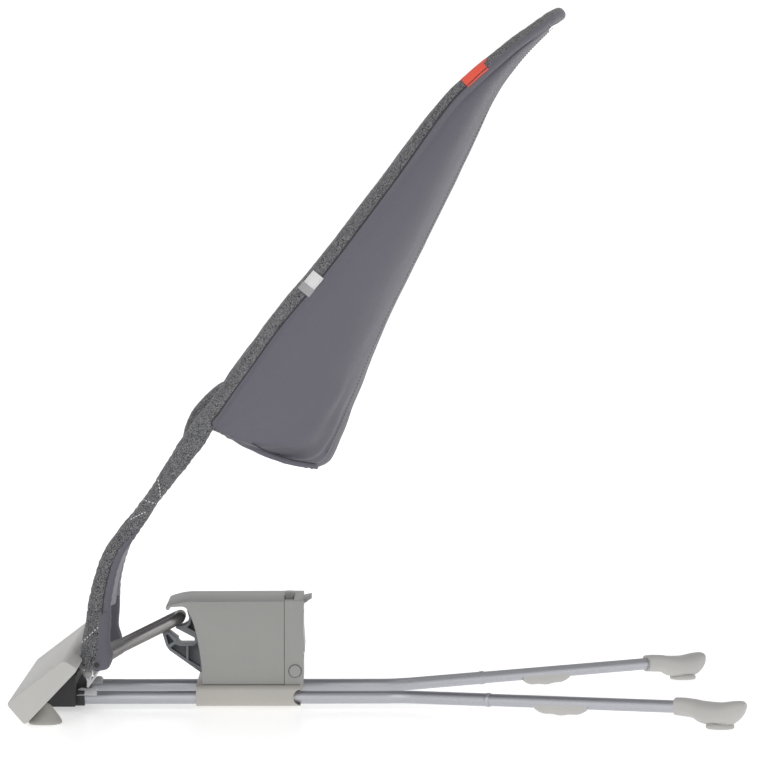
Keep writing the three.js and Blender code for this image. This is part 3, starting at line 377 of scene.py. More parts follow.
def squared(value, power):
    """A sine or cosine with its size raised to a power: under 1 squares a section's corners."""
    return math.copysign(abs(value) ** power, value)


def sweep_rows(path, sizes, sides, squareness=1.0):
    """Rings along a path. sizes gives each ring's half depth, in the path's upright plane, and half width."""
    rows = []
    width_way = Vector((0, 1, 0))
    for i, centre in enumerate(path):
        heading = (path[min(i + 1, len(path) - 1)] - path[max(i - 1, 0)]).normalized()
        width_way = (width_way - heading * width_way.dot(heading)).normalized()
        depth_way = heading.cross(width_way)
        deep, wide = sizes[i]
        row = []
        for k in range(sides):
            angle = 2 * math.pi * k / sides
            row.append(centre + width_way * (wide * squared(math.cos(angle), squareness))
                       + depth_way * (deep * squared(math.sin(angle), squareness)))
        rows.append(row)
    return rows


def lathe_piece(name, profile, centre, material, sides=48):
    """A turned shape: radius and height pairs, in millimetres, about an upright axis."""
    rows = []
    for radius, height in profile:
        rows.append([centre + Vector((radius * MM * math.cos(2 * math.pi * k / sides),
                                      radius * MM * math.sin(2 * math.pi * k / sides), height * MM))
                     for k in range(sides)])
    return grid_piece(name, rows, material, closed=True, caps=True)


def stand_in(piece, node, body):
    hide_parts(node)
    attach(piece, body)


def extra(piece, slot, body):
    """A piece that stands for no CAD node, attached to a body. The slot argument is not used."""
    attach(piece, body)


def softened(node, material, width=0.0012, segments=3, angle=32):
    """A CAD solid with its edges rounded as a mould or a file leaves them."""
    source = frame["nodes"][node]
    mesh = source.data.copy()
    mesh.materials.clear()
    mesh.materials.append(material)
    piece = bpy.data.objects.new(node + "_finished", mesh)
    bpy.context.scene.collection.objects.link(piece)
    work = bmesh.new()
    work.from_mesh(mesh)
    bmesh.ops.remove_doubles(work, verts=work.verts, dist=0.00002)
    bmesh.ops.dissolve_limit(work, angle_limit=math.radians(1.0), verts=work.verts, edges=work.edges)
    work.to_mesh(mesh)
    work.free()
    modified(piece, "BEVEL", width=width, segments=segments, limit_method="ANGLE",
             angle_limit=math.radians(angle), harden_normals=False, use_clamp_overlap=True)
    piece = crease(flatten(piece), 28)
    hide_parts(node)
    return piece


# ---------------------------------------------------------------- node trees
def tree_inputs(tree, wanted):
    """Adds the modifier's inputs: name, socket type and default value."""
    for name, kind, default in wanted:
        socket = tree.interface.new_socket(name, in_out="INPUT", socket_type=kind)
        if default is not None:
            socket.default_value = default
    tree.interface.new_socket("Geometry", in_out="OUTPUT", socket_type="NodeSocketGeometry")


def add_node(tree, kind, settings=None, **links):
    made = tree.nodes.new(kind)
    for key, value in (settings or {}).items():
        setattr(made, key, value)
    for key, value in links.items():
        target = made.inputs[int(key[1:])] if key[1:].isdigit() else made.inputs[key.replace("_", " ")]
        if isinstance(value, bpy.types.NodeSocket):
            tree.links.new(value, target)
        else:
            target.default_value = value
    return made


def finish_tree(tree, geometry, material):
    real = add_node(tree, "GeometryNodeRealizeInstances", Geometry=geometry)
    coloured = add_node(tree, "GeometryNodeSetMaterial", Geometry=real.outputs[0], Material=material)
    add_node(tree, "NodeGroupOutput", Geometry=coloured.outputs[0])


def make_tube_tree():
    """A round tube along the object's own curve."""
    tree = bpy.data.node_groups.new("tube_along_curve", "GeometryNodeTree")
    tree_inputs(tree, [("Geometry", "NodeSocketGeometry", None), ("Radius", "NodeSocketFloat", 0.007),
                       ("Sides", "NodeSocketInt", 40), ("Material", "NodeSocketMaterial", None)])
    given = add_node(tree, "NodeGroupInput").outputs
    ring = add_node(tree, "GeometryNodeCurvePrimitiveCircle", Resolution=given["Sides"],
                    Radius=given["Radius"])
    tube = add_node(tree, "GeometryNodeCurveToMesh", Curve=given["Geometry"],
                    Profile_Curve=ring.outputs[0], Fill_Caps=True)
    finish_tree(tree, tube.outputs[0], given["Material"])
    return tree


def make_stitch_tree():
    """A run of stitches: short round-ended threads laid end to end along the object's own curve."""
    tree = bpy.data.node_groups.new("stitch_run", "GeometryNodeTree")
    tree_inputs(tree, [("Geometry", "NodeSocketGeometry", None), ("Pitch", "NodeSocketFloat", 0.0036),
                       ("Stitch", "NodeSocketFloat", 0.0023), ("Thickness", "NodeSocketFloat", 0.0005),
                       ("Material", "NodeSocketMaterial", None)])
    given = add_node(tree, "NodeGroupInput").outputs
    points = add_node(tree, "GeometryNodeCurveToPoints", {"mode": "LENGTH"}, Curve=given["Geometry"],
                      Length=given["Pitch"])
    thread = add_node(tree, "GeometryNodeMeshUVSphere", Segments=8, Rings=6, Radius=1.0)
    half = add_node(tree, "ShaderNodeMath", {"operation": "MULTIPLY"}, _0=given["Stitch"], _1=0.5)
    size = add_node(tree, "ShaderNodeCombineXYZ", X=given["Thickness"], Y=given["Thickness"],
                    Z=half.outputs[0])
    shaped = add_node(tree, "GeometryNodeTransform", Geometry=thread.outputs[0], Scale=size.outputs[0])
    placed = add_node(tree, "GeometryNodeInstanceOnPoints", Points=points.outputs["Points"],
                      Instance=shaped.outputs[0], Rotation=points.outputs["Rotation"])
    finish_tree(tree, placed.outputs[0], given["Material"])
    return tree


def make_screw_tree():
    """Countersunk cross-head screws, one on each vertex of the object, along its normal."""
    tree = bpy.data.node_groups.new("screw_heads", "GeometryNodeTree")
    tree_inputs(tree, [("Geometry", "NodeSocketGeometry", None), ("Radius", "NodeSocketFloat", 0.0032),
                       ("Rise", "NodeSocketFloat", 0.0009), ("Material", "NodeSocketMaterial", None)])
    given = add_node(tree, "NodeGroupInput").outputs
    head = add_node(tree, "GeometryNodeMeshCone", {"fill_type": "NGON"}, Vertices=20, Side_Segments=1,
                    Radius_Bottom=given["Radius"], Depth=given["Rise"])
    taper = add_node(tree, "ShaderNodeMath", {"operation": "MULTIPLY"}, _0=given["Radius"], _1=0.8)
    tree.links.new(taper.outputs[0], head.inputs["Radius Top"])
    slot = add_node(tree, "GeometryNodeMeshCube", Size=(0.0034, 0.0007, 0.0008))
    quarter = add_node(tree, "GeometryNodeTransform", Geometry=slot.outputs[0],
                       Rotation=(0, 0, math.pi / 2))
    cross = add_node(tree, "GeometryNodeJoinGeometry")
    tree.links.new(slot.outputs[0], cross.inputs[0])
    tree.links.new(quarter.outputs[0], cross.inputs[0])
    raised = add_node(tree, "GeometryNodeTransform", Geometry=cross.outputs[0], Translation=(0, 0, 0.0009))
    cut_head = add_node(tree, "GeometryNodeMeshBoolean", {"operation": "DIFFERENCE"},
                        _0=head.outputs[0], _1=raised.outputs[0])
    normal = add_node(tree, "GeometryNodeInputNormal")
    aim = add_node(tree, "FunctionNodeAlignRotationToVector", {"axis": "Z"}, Vector=normal.outputs[0])
    placed = add_node(tree, "GeometryNodeInstanceOnPoints", Points=given["Geometry"],
                      Instance=cut_head.outputs[0], Rotation=aim.outputs[0])
    finish_tree(tree, placed.outputs[0], given["Material"])
    return tree


def curve_object(name, points):
    data = bpy.data.curves.new(name, "CURVE")
    data.dimensions = "3D"
    line = data.splines.new("POLY")
    line.points.add(len(points) - 1)
    for control, point in zip(line.points, points):
        control.co = (*point, 1)
    made = bpy.data.objects.new(name, data)
    bpy.context.scene.collection.objects.link(made)
    return made


def grown(piece, tree, **values):
    """Runs a node tree on a curve or mesh object and returns the plain mesh that it makes."""
    step = piece.modifiers.new(tree.name, "NODES")
    step.node_group = tree
    for item in tree.interface.items_tree:
        if item.in_out == "INPUT" and item.name in values:
            step[item.identifier] = values[item.name]
    return crease(flatten(piece), 40)


TUBE = make_tube_tree()
STITCHES = make_stitch_tree()
SCREWS = make_screw_tree()


def tube(name, points, radius, material, sides=40):
    return outward(grown(curve_object(name, points), TUBE, Radius=radius, Sides=sides, Material=material))


def stitches(name, points, body, material=THREAD, pitch=3.6, stitch=2.4, thickness=0.55):
    piece = grown(curve_object(name, points), STITCHES, Pitch=pitch * MM, Stitch=stitch * MM,
                  Thickness=thickness * MM, Material=material)
    outward(piece)
    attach(piece, body)
    return piece


def screws(name, spots, normal, body, material=BAIL_STEEL, radius=3.2):
    """Screw heads at the given points, standing on a face with the given normal."""
    lean = Vector(normal).normalized()
    first = lean.orthogonal().normalized() * 0.0001
    second = lean.cross(first)
    seed = bpy.data.meshes.new(name)
    ring = [(spot, spot + first, spot + second) for spot in spots]
    seed.from_pydata([tuple(v) for group in ring for v in group], [],
                     [(3 * i, 3 * i + 1, 3 * i + 2) for i in range(len(ring))])
    seed.update()
    holder = bpy.data.objects.new(name, seed)
    bpy.context.scene.collection.objects.link(holder)
    piece = grown(holder, SCREWS, Radius=radius * MM, Rise=0.9 * MM, Material=material)
    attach(piece, body)
    return piece


# ---------------------------------------------------------------- foot bar
FOOT_BACK = (-316.5, 60)
FOOT_LOW = (-372.5, 1)
FRONT_PAD_X = -353
FRONT_PAD_FROM_END = 26
# The pad's turned outline: radius and height.
FRONT_PAD = [
    (16.6, 0.15), (17.6, 1), (17.9, 2.4), (17.0, 4.6), (14.6, 8.4), (11.8, 12.1), (9, 15.8), (6.2, 19.4),
    (2.8, 21.6),
]


def build_foot():
    bar = softened("front_foot", PALE, 0.0022, 4)
    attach(bar, "base")
    plate = softened("foot_underplate", PALE, 0.0008, 2)
    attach(plate, "base")
    low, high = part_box("front_foot")
    slope = Vector((FOOT_BACK[0] - FOOT_LOW[0], 0, FOOT_BACK[1] - FOOT_LOW[1])).normalized()
    normal = Vector((slope.z, 0, -slope.x))
    middle = base_spot(FOOT_LOW[0], 0, FOOT_LOW[1]) + slope * 0.040
    spots = [middle + normal * 0.0004 + Vector((0, y * MM, 0)) for y in (-150, -95, 95, 150)]
    screws("underplate_screws", spots, normal, "base")
    for side, sign in SIDES.items():
        end = high.y if sign > 0 else low.y
        centre = base_spot(FRONT_PAD_X, 0, 0)
        centre.y = end - sign * FRONT_PAD_FROM_END * MM
        profile = [(15.6, 0)] + [tuple(p) for p in spline(FRONT_PAD, 30)]
        pad = lathe_piece(f"front_pad_{side}_moulding", profile, centre, SHADED_PAD_RUBBER)
        crease(pad, 50)
        stand_in(pad, f"front_pad_{side}", "base")


# ---------------------------------------------------------------- rails, legs and rear feet
RAIL_Y = 57
RAIL_Z = 13
RAIL_RADIUS = 7
RAIL_START_X = -341
BEND_X = 8
BEND_LENGTH = 34
LEG_SLOPE = math.tan(math.radians(27.3))
LEG_RISE = 8
LEG_END_X = 347
LEG_TUBE_END_X = 329
LEG_JOINT_X = 117
GLIDE_X = 192
GLIDE_REACH = 27
# The moulded rear shoe along the leg: from the tube's end, half width, underside and top.
SHOE = [
    (-41.5, 9.2, 11.2, 29.8), (-33, 9.8, 10.6, 30), (-21, 11.8, 9.4, 29.2), (-11, 14.6, 4.8, 27.8),
    (8, 16.5, 3.4, 27.2), (20, 15.8, 4.2, 29), (28, 13.2, 9, 29.8), (33, 10, 15, 29.6),
    (36.2, 5, 21.5, 27.8),
]
SHOE_SQUARENESS = 0.8


def rail_spot(x, side, raised=0.0):
    into = max(0.0, x - BEND_X)
    bend = min(into, BEND_LENGTH)
    spread = LEG_SLOPE * bend * bend / (2 * BEND_LENGTH) + LEG_SLOPE * (into - bend)
    height = RAIL_Z + LEG_RISE * into / (LEG_END_X - BEND_X)
    return base_spot(x, side * (RAIL_Y + spread), height + raised)


def build_rails():
    for side, sign in SIDES.items():
        stops = [RAIL_START_X, BEND_X - 6, *np.linspace(BEND_X, BEND_X + BEND_LENGTH, 14), LEG_JOINT_X]
        rail = tube(f"rail_{side}_tube", [rail_spot(x, sign) for x in stops], RAIL_RADIUS * MM, RAIL_STEEL)
        stand_in(rail, f"rail_{side}", "base")
        leg = tube(f"leg_{side}_tube", [rail_spot(x, sign) for x in (LEG_JOINT_X + 0.6, 200, LEG_TUBE_END_X)],
                   (RAIL_RADIUS - 0.35) * MM, RAIL_STEEL)
        stand_in(leg, f"leg_{side}", "base")
        ring_path = [rail_spot(LEG_JOINT_X + d, sign) for d in (-2.2, -1.6, 1.6, 2.2)]
        rows = sweep_rows(ring_path, [(r * MM, r * MM) for r in (7.0, 7.5, 7.5, 7.0)], 40)
        ring = crease(grid_piece(f"joint_ring_{side}_collar", rows, RAIL_STEEL, closed=True, caps=True), 40)
        stand_in(ring, f"joint_ring_{side}", "base")


def build_rear_feet():
    for side, sign in SIDES.items():
        end = rail_spot(LEG_END_X, sign)
        heading = (end - rail_spot(LEG_JOINT_X, sign))
        heading.z = 0
        heading.normalize()
        sideways = Vector((-heading.y, heading.x, 0))
        rows = []
        for distance, half, low, high in spline(SHOE, 44):
            centre = end + heading * (distance * MM)
            row = []
            for k in range(40):
                angle = 2 * math.pi * k / 40
                place = centre + sideways * (half * squared(math.cos(angle), SHOE_SQUARENESS) * MM)
                rise = squared(math.sin(angle), SHOE_SQUARENESS)
                place.z = ((low + high) / 2 + (high - low) / 2 * rise) * MM
                row.append(place)
            rows.append(row)
        shoe = crease(grid_piece(f"rear_foot_{side}_shoe", rows, PALE, closed=True, caps=True), 50)
        stand_in(shoe, f"rear_foot_{side}", "base")
        pad_centre = end + heading * 0.008
        pad_centre.z = 0
        profile = [(13.2, 0), (14.4, 0.3), (15, 1.0), (15, 3.2), (14.3, 4.2), (13.2, 5.6)]
        pad = lathe_piece(f"rear_pad_{side}_disc", profile, pad_centre, PALE)
        crease(pad, 50)
        stand_in(pad, f"rear_pad_{side}", "base")
        build_glide(side, sign)


def build_glide(side, sign):
    """The lens-shaped pad clipped under a leg, with a wavy underside."""
    rows = []
    for distance in np.linspace(-1, 1, 41):
        centre = rail_spot(GLIDE_X + distance * GLIDE_REACH, sign)
        depth = 6.2 * max(0.02, 1 - abs(distance) ** 2.4) ** 0.6 + 0.5 * math.cos(distance * 9)
        row = []
        for k in range(11):
            angle = math.radians(200 + 14 * k)
            row.append(centre + Vector((0, 7.2 * math.cos(angle), 7.2 * math.sin(angle))) * MM)
        for k in range(11):
            share = 1 - k / 5
            low = max(-7.2 - depth * (1 - abs(share) ** 3.0) ** 0.5, 0.6 - centre.z / MM)
            row.append(centre + Vector((0, 6.6 * share, low)) * MM)
        rows.append(row)
    glide = crease(grid_piece(f"glide_pad_{side}_lens", rows, PALE, closed=True, caps=True), 40)
    stand_in(glide, f"glide_pad_{side}", "base")


# ---------------------------------------------------------------- pivot, bail and carriage
BAIL_TILT = math.radians(26.4)
BAIL_REACH = 95.3
BAIL_ROOT = 11
BAIL_HALF_WIDTH = 24
BAIL_CORNER = 10


def bail_spot(distance, y):
    return seat_spot(distance * math.cos(BAIL_TILT), distance * math.sin(BAIL_TILT), y)


def bar_piece(name, points, half_depth, half_width, material, squareness=0.4):
    """A moulded bar with rounded corners along points in an upright plane."""
    path = [points[0].lerp(points[1], 0.02), *points[1:-1], points[-2].lerp(points[-1], 0.98)]
    path = [points[0], *path, points[-1]]
    sizes = [(half_depth * MM, half_width * MM)] * len(path)
    sizes[0] = sizes[-1] = (half_depth * 0.8 * MM, half_width * 0.92 * MM)
    piece = grid_piece(name, sweep_rows(path, sizes, 32, squareness), material, closed=True, caps=True)
    return crease(piece, 40)


def build_bracket(side, sign):
    """The pivot bracket: an eye round the axle, two slanting struts and a saddle over the rail."""
    low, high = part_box(f"pivot_bracket_{side}")
    middle = (low.y + high.y) / 2 / MM
    reach = (high.y - low.y) / 2 / MM
    eye = [[seat_spot(radius * math.cos(a), radius * math.sin(a), middle + across * reach)
            for a in np.linspace(0, 2 * math.pi, 40, endpoint=False)]
           for radius, across in ((6.6, -0.96), (7.4, -0.85), (7.4, 0.85), (6.6, 0.96))]
    piece = crease(grid_piece(f"pivot_bracket_{side}_eye", eye, WHITE, closed=True, caps=True), 40)
    stand_in(piece, f"pivot_bracket_{side}", "base")
    struts = {"front": [(-6.5, -4), (-9.2, -16), (-11.6, -27.5)],
              "rear": [(2.2, -5), (-5.4, -18), (-13, -28.6)],
              "brace": [(-15, -14), (-12.5, -21), (-12.2, -28)]}
    for name, line in struts.items():
        strut = bar_piece(f"pivot_strut_{name}_{side}", [seat_spot(f, u, middle) for f, u in line], 1.3,
                          reach * 0.45, WHITE)
        extra(strut, "white_plastic", "base")
    rows = []
    for share in np.linspace(0, 1, 24):
        forward = -24 + 21.5 * share
        rise = 2.6 * math.sin(math.pi * share) ** 0.6 + 0.8 * math.sin(9 * share)
        row = []
        for k in range(15):
            angle = math.radians(22 + 136 * k / 14)
            row.append(seat_spot(forward, -40 + (8 + rise * math.sin(angle)) * math.sin(angle),
                                 sign * 57 + 9.4 * math.cos(angle)))
        for k in range(15):
            angle = math.radians(158 - 136 * k / 14)
            row.append(seat_spot(forward, -40 + 7.2 * math.sin(angle), sign * 57 + 7.2 * math.cos(angle)))
        rows.append(row)
    saddle = crease(grid_piece(f"pivot_saddle_{side}", rows, WHITE, closed=True, caps=True), 50)
    extra(saddle, "white_plastic", "base")


def build_pivot():
    for side, sign in SIDES.items():
        build_bracket(side, sign)
        collar_path = [rail_spot(x, sign) for x in (-330, -329, -319.6, -318.6)]
        rows = sweep_rows(collar_path, [(r * MM, r * MM) for r in (8, 8.4, 8.4, 8)], 40, 0.3)
        collar = crease(grid_piece(f"socket_collar_{side}", rows, DARK, closed=True, caps=True), 40)
        extra(collar, "dark_plastic", "base")
    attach(softened("rail_socket", DARK, 0.0015, 3), "base")
    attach(softened("tie_rod", BAIL_STEEL, 0.0008, 3), "base")
    for side, sign in SIDES.items():
        rings = [[seat_spot(radius * math.cos(a), radius * math.sin(a), sign * across)
                  for a in np.linspace(0, 2 * math.pi, 28, endpoint=False)]
                 for radius, across in ((2.6, 96), (2.6, 104.2), (2.2, 104.9), (1.4, 105.2), (0.6, 105.3))]
        rivet = crease(grid_piece(f"axle_cap_{side}_rivet", rings, DARK, closed=True, caps=True), 40)
        stand_in(rivet, f"axle_cap_{side}", "base")
    frame["nodes"]["pivot_axle"].data.materials[0] = BAIL_STEEL
    core = softened("hub_core", BAIL_STEEL, 0.0008, 2)
    for vertex in core.data.vertices:
        along = (vertex.co.x - PIVOT.x) * math.cos(BAIL_TILT) + (vertex.co.z - PIVOT.z) * math.sin(BAIL_TILT)
        if along > 0.0095:
            middle = bail_spot(along / MM, math.copysign(BAIL_HALF_WIDTH, vertex.co.y))
            away = vertex.co - middle
            vertex.co = middle + away * min(1.0, 0.0066 / max(away.length, 1e-6))
    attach(core, "recliner")
    corner = []
    for sign in (1, -1):
        turn = np.linspace(0, math.pi / 2, 12)
        arc = [bail_spot(BAIL_REACH - BAIL_CORNER + BAIL_CORNER * math.sin(a),
                         sign * (BAIL_HALF_WIDTH - BAIL_CORNER + BAIL_CORNER * math.cos(a))) for a in turn]
        corner += arc if sign > 0 else arc[::-1]
    path = [bail_spot(BAIL_ROOT, BAIL_HALF_WIDTH), *corner, bail_spot(BAIL_ROOT, -BAIL_HALF_WIDTH)]
    rod = tube("bail_rod", path, 0.006, BAIL_STEEL)
    stand_in(rod, "bail", "recliner")


def build_carriage():
    for node, material, width in (("carriage_housing", CARRIAGE, 0.0022), ("rear_cover", CARRIAGE, 0.0013),
                                  ("notch_cam", CAM, 0.0005), ("rail_sleeve", SLEEVE, 0.0012),
                                  ("slide_pad", WHITE, 0.0008)):
        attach(softened(node, material, width), "carriage")
    lever = softened("release_lever", CARRIAGE, 0.0016, 4)
    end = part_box("release_lever")[1].x
    for vertex in lever.data.vertices:
        vertex.co.z += 0.0036 * max(0.0, min(1.0, (vertex.co.x - end + 0.010) / 0.006))
    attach(lever, "lever")
    catch = softened("top_catch", CARRIAGE, 0.0012, 3)
    for vertex in catch.data.vertices:
        vertex.co.y *= 0.4
    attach(catch, "catch")
    for side in SIDES:
        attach(softened(f"release_button_{side}", CARRIAGE, 0.0012), f"button_{side}_side")
        frame["nodes"][f"button_spring_{side}"].data.materials[0] = BAIL_STEEL
    frame["nodes"]["lever_pin"].data.materials[0] = BAIL_STEEL
    low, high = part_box("rear_cover")
    spots = [Vector((high.x - 0.0016, y * MM, z)) for y in (-50, 50) for z in (low.z + 0.03, high.z - 0.012)]
    screws("cover_screws", spots, (1, 0, 0), "carriage", DARK)


# ---------------------------------------------------------------- seat outline
# The seat tube's middle line: forward, up, half width, and the sleeve's half depth and half width there.
RIM = [
    (0, 22, 86, 12.5, 10.5), (1.5, 45, 86.5, 12.8, 10.5), (3, 68, 88, 12.2, 10), (9, 96, 89, 11, 9.5),
    (20, 124, 92, 10, 9), (41, 152, 98, 8.4, 8.5), (62, 182, 108, 7.9, 8.2), (83.4, 212.8, 121, 9.9, 8.2),
    (105.3, 243.2, 136, 11.6, 8.4), (117.2, 261.6, 144, 11, 8.4), (129.2, 277.9, 152, 9.4, 8.2),
    (152.5, 311.4, 165, 8.6, 8.2), (194.6, 369.5, 187, 8.6, 8.2), (243.7, 428.6, 199, 8.4, 8.2),
    (313, 519, 202, 8.2, 8), (370, 595, 193, 8, 7.8), (399.5, 624.5, 180, 7.8, 7.6),
    (420, 642, 166, 7.6, 7.4), (444.5, 662.5, 138, 7.2, 7.2), (467, 679, 103, 7, 7), (486, 693, 64, 7, 7),
    (497, 699.5, 28, 7, 7), (500, 701, 0, 7, 7),
]
# The bag's ribs: the height of the rim where one starts, and the back point that it reaches.
BAG_RIBS = [
    (262, 133, 252), (266, 153, 238.5), (274, 181, 223), (283, 204, 215.2), (293, 221, 212),
    (304, 236, 210.4), (313, 245, 214), (323, 252, 222), (340, 264, 247), (405, 308, 355), (455, 333, 409),
    (505, 359, 463), (575, 399, 547), (625, 428, 609), (650, 450, 641), (672, 470, 664), (690, 490, 684),
]
# How much of the sleeve's side the knit covers, measured back from its front, at heights of the rim.
KNIT_BAND = [
    (20, 22), (45, 17), (62, 16.2), (97, 14.1), (126, 12.6), (150, 14), (162, 40), (252, 40), (266, 15),
    (300, 14), (450, 13.5), (520, 12.6), (600, 10), (645, 8), (700, 6),
]
rim_line = spline(RIM, 400)


def seam_depth(up, deep):
    """How far in front of the rim's middle line the knit stops on the outer side."""
    return max(-deep, deep - float(np.interp(up, *zip(*KNIT_BAND))))


def rim_row(up):
    """The rim at a height: forward, up, half width, sleeve half depth and half width."""
    return np.array([np.interp(up, rim_line[:, 1], rim_line[:, k]) for k in range(5)])


def rim_normal(up):
    """The way from the rim towards the child's side, as forward and up."""
    ahead = rim_row(up + 3) - rim_row(up - 3)
    size = math.hypot(ahead[0], ahead[1])
    return -ahead[1] / size, ahead[0] / size


def off_rim(rim, way, depth, across):
    """A point set off the rim's middle line towards the child's side, or behind it if depth is negative."""
    return seat_spot(rim[0] + way[0] * depth, rim[1] + way[1] * depth, across)


def wrinkle(point, scale, size, seed=0.0):
    """A smooth random height at a point, in metres."""
    return noise.noise(Vector(point) * scale + Vector((seed, seed * 1.7, -seed))) * size


# ---------------------------------------------------------------- rim sleeves and arms
def build_sleeves():
    for side, sign in SIDES.items():
        rows = spline(RIM, 240)
        path = [seat_spot(f, u, sign * w) for f, u, w, _, _ in rows]
        sizes = []
        for _, u, _, deep, wide in rows:
            pucker = 0.00035 * math.sin(u * 0.9) * (1 if u < 250 else 0.3)
            sizes.append((deep * MM + pucker, wide * MM + pucker))
        rings = sweep_rows(path, sizes, 36, 0.9)
        for i, ring in enumerate(rings):
            for k, point in enumerate(ring):
                away = (point - path[i]).normalized()
                loose = 0.0011 if rows[i][1] < 240 else 0.0004
                ring[k] = point + away * wrinkle(point, 55, loose, sign * 3)
        sleeve = grid_piece(f"rim_sleeve_{side}_knit", rings, RIM_KNIT, closed=True, caps=True)
        sleeve.data.materials.append(NYLON)
        sleeve.data.materials.append(LINING)
        for i, (f, u, w, deep, wide) in enumerate(rows[:-1]):
            for k in range(36):
                angle = 2 * math.pi * (k + 0.5) / 36
                outer = math.cos(angle) * sign > -0.25
                level = deep * math.sin(angle)
                if outer and level < seam_depth(u, deep) - 0.01:
                    sleeve.data.polygons[i * 36 + k].material_index = 1
                elif not outer and u < 150 and level < 4:
                    sleeve.data.polygons[i * 36 + k].material_index = 2
        stand_in(sleeve, f"rim_sleeve_{side}", "seat")
        build_rim_seam(side, sign)


def seam_lean(up, rim):
    """The seam's angle round the sleeve, from its outermost line towards its front."""
    return math.asin(max(-1.0, min(1.0, seam_depth(up, rim[3]) / rim[3])))


def seam_spot(up, sign, lift):
    """A point on the sleeve's outer side, where its knit meets the bag's nylon."""
    rim, way = rim_row(up), rim_normal(up)
    lean = seam_lean(up, rim)
    deep, wide = (rim[3] + lift) * math.sin(lean), (rim[4] + lift) * math.cos(lean)
    return off_rim(rim, way, deep, sign * (rim[2] + wide))


def build_rim_seam(side, sign):
    """Thin dark tubes along the sunk seam where the bag is sewn to the sleeve: painted seam shade, shaped as
    a piped edge.
    """
    # These dark tubes paint the shade in the sunk seam, on the rim and on the arm.
    cord = tube(f"rim_piping_{side}", [seam_spot(u, sign, 0.5) for u in np.linspace(264, 690, 150)], 0.0009,
                SEAM_SHADE_NYLON, 12)
    extra(cord, "rim_fabric", "seat")
    strip = tube(f"arm_piping_{side}", [seam_spot(u, sign, 0.1) for u in np.linspace(44, 150, 60)], 0.0006,
                 SEAM_SHADE_NYLON, 10)
    extra(strip, "rim_fabric", "seat")


# ---------------------------------------------------------------- bag, pad and sheets
def rib_points(rim, back, inset, count, flatness, edge_gap):
    """Points of one rib: from one edge of the rim round the back to the other edge."""
    f, u, half = rim[0], rim[1], rim[2] - edge_gap - inset
    depth = math.hypot(back[0] - f, back[1] - u)
    reach = (depth - inset) / depth
    points = []
    for i in range(count):
        angle = math.pi * i / (count - 1)
        c, s = math.cos(angle), math.sin(angle)
        across = squared(c, flatness) * half
        down = abs(s) ** flatness * reach
        points.append(seat_spot(f + (back[0] - f) * down, u + (back[1] - u) * down, across))
    return points


def wrap_points(up, sign, count=7):
    """Bag points laid over the sleeve's outer side, from its seam round to its back."""
    rim, way = rim_row(up), rim_normal(up)
    points = []
    for i, angle in enumerate(np.linspace(seam_lean(up, rim), -1.25, count)):
        lift = 0.2 if i == 0 else 1.0
        deep, wide = (rim[3] + lift) * math.sin(angle), (rim[4] + lift) * math.cos(angle)
        points.append(off_rim(rim, way, deep, sign * (rim[2] + wide)))
    return points


def bag_rows(count, around, inset=0.0, flatness=0.72, edge_gap=0.5, wrapped=False):
    rows = []
    for up, forward, back_up in spline(BAG_RIBS, count):
        rim = rim_row(up)
        nf, nu = rim_normal(up)
        start = (rim[0] - nf * rim[3] * 0.95, rim[1] - nu * rim[3] * 0.95, rim[2])
        row = rib_points(start, (forward, back_up), inset, around, flatness, edge_gap)
        if wrapped:
            row = wrap_points(up, 1) + row[1:-1] + wrap_points(up, -1)[::-1]
        rows.append(row)
    return rows


def drape(piece, heights):
    """Moves each vertex along its normal by a height that depends on its place."""
    mesh = piece.data
    normals = [v.normal.copy() for v in mesh.vertices]
    for vertex, normal in zip(mesh.vertices, normals):
        vertex.co += normal * heights(vertex.co)
    mesh.update()


def build_bag():
    count, around = 150, 120
    rows = bag_rows(count, around, wrapped=True)
    bag = grid_piece("seat_bag_shell", rows, NYLON)
    if bag.data.polygons[len(bag.data.polygons) // 2].normal.x < 0:
        bag.data.flip_normals()
    bottom = seat_spot(118, 246)
    corner = seat_spot(247, 210)

    def folds(point):
        edge = 1 - min(1.0, abs(point.y) / 0.19)
        long_folds = noise.noise(Vector((point.x * 9, point.y * 14, point.z * 2.2))) * 0.0026
        low = max(0.0, 1 - (point.z - corner.z) / 0.16)
        gathers = math.sin(point.y * 210 + 3 * noise.noise(point * 20)) * 0.0022 * low ** 2
        away = (point - bottom).length
        radial = math.atan2(point.z - bottom.z, point.x - bottom.x)
        pull = math.sin(radial * 26 + 2 * noise.noise(point * 9)) * 0.002 * math.exp(-away / 0.10)
        return long_folds * (0.5 + 0.5 * edge) + gathers + pull + wrinkle(point, 30, 0.0006, 5)

    drape(bag, folds)
    modified(bag, "SOLIDIFY", thickness=0.0012, offset=-1)
    bag = flatten(bag)
    stand_in(bag, "seat_bag", "seat")
    for side, sign in SIDES.items():
        build_bag_panel_seam(side, sign)
        build_hem(side, sign)


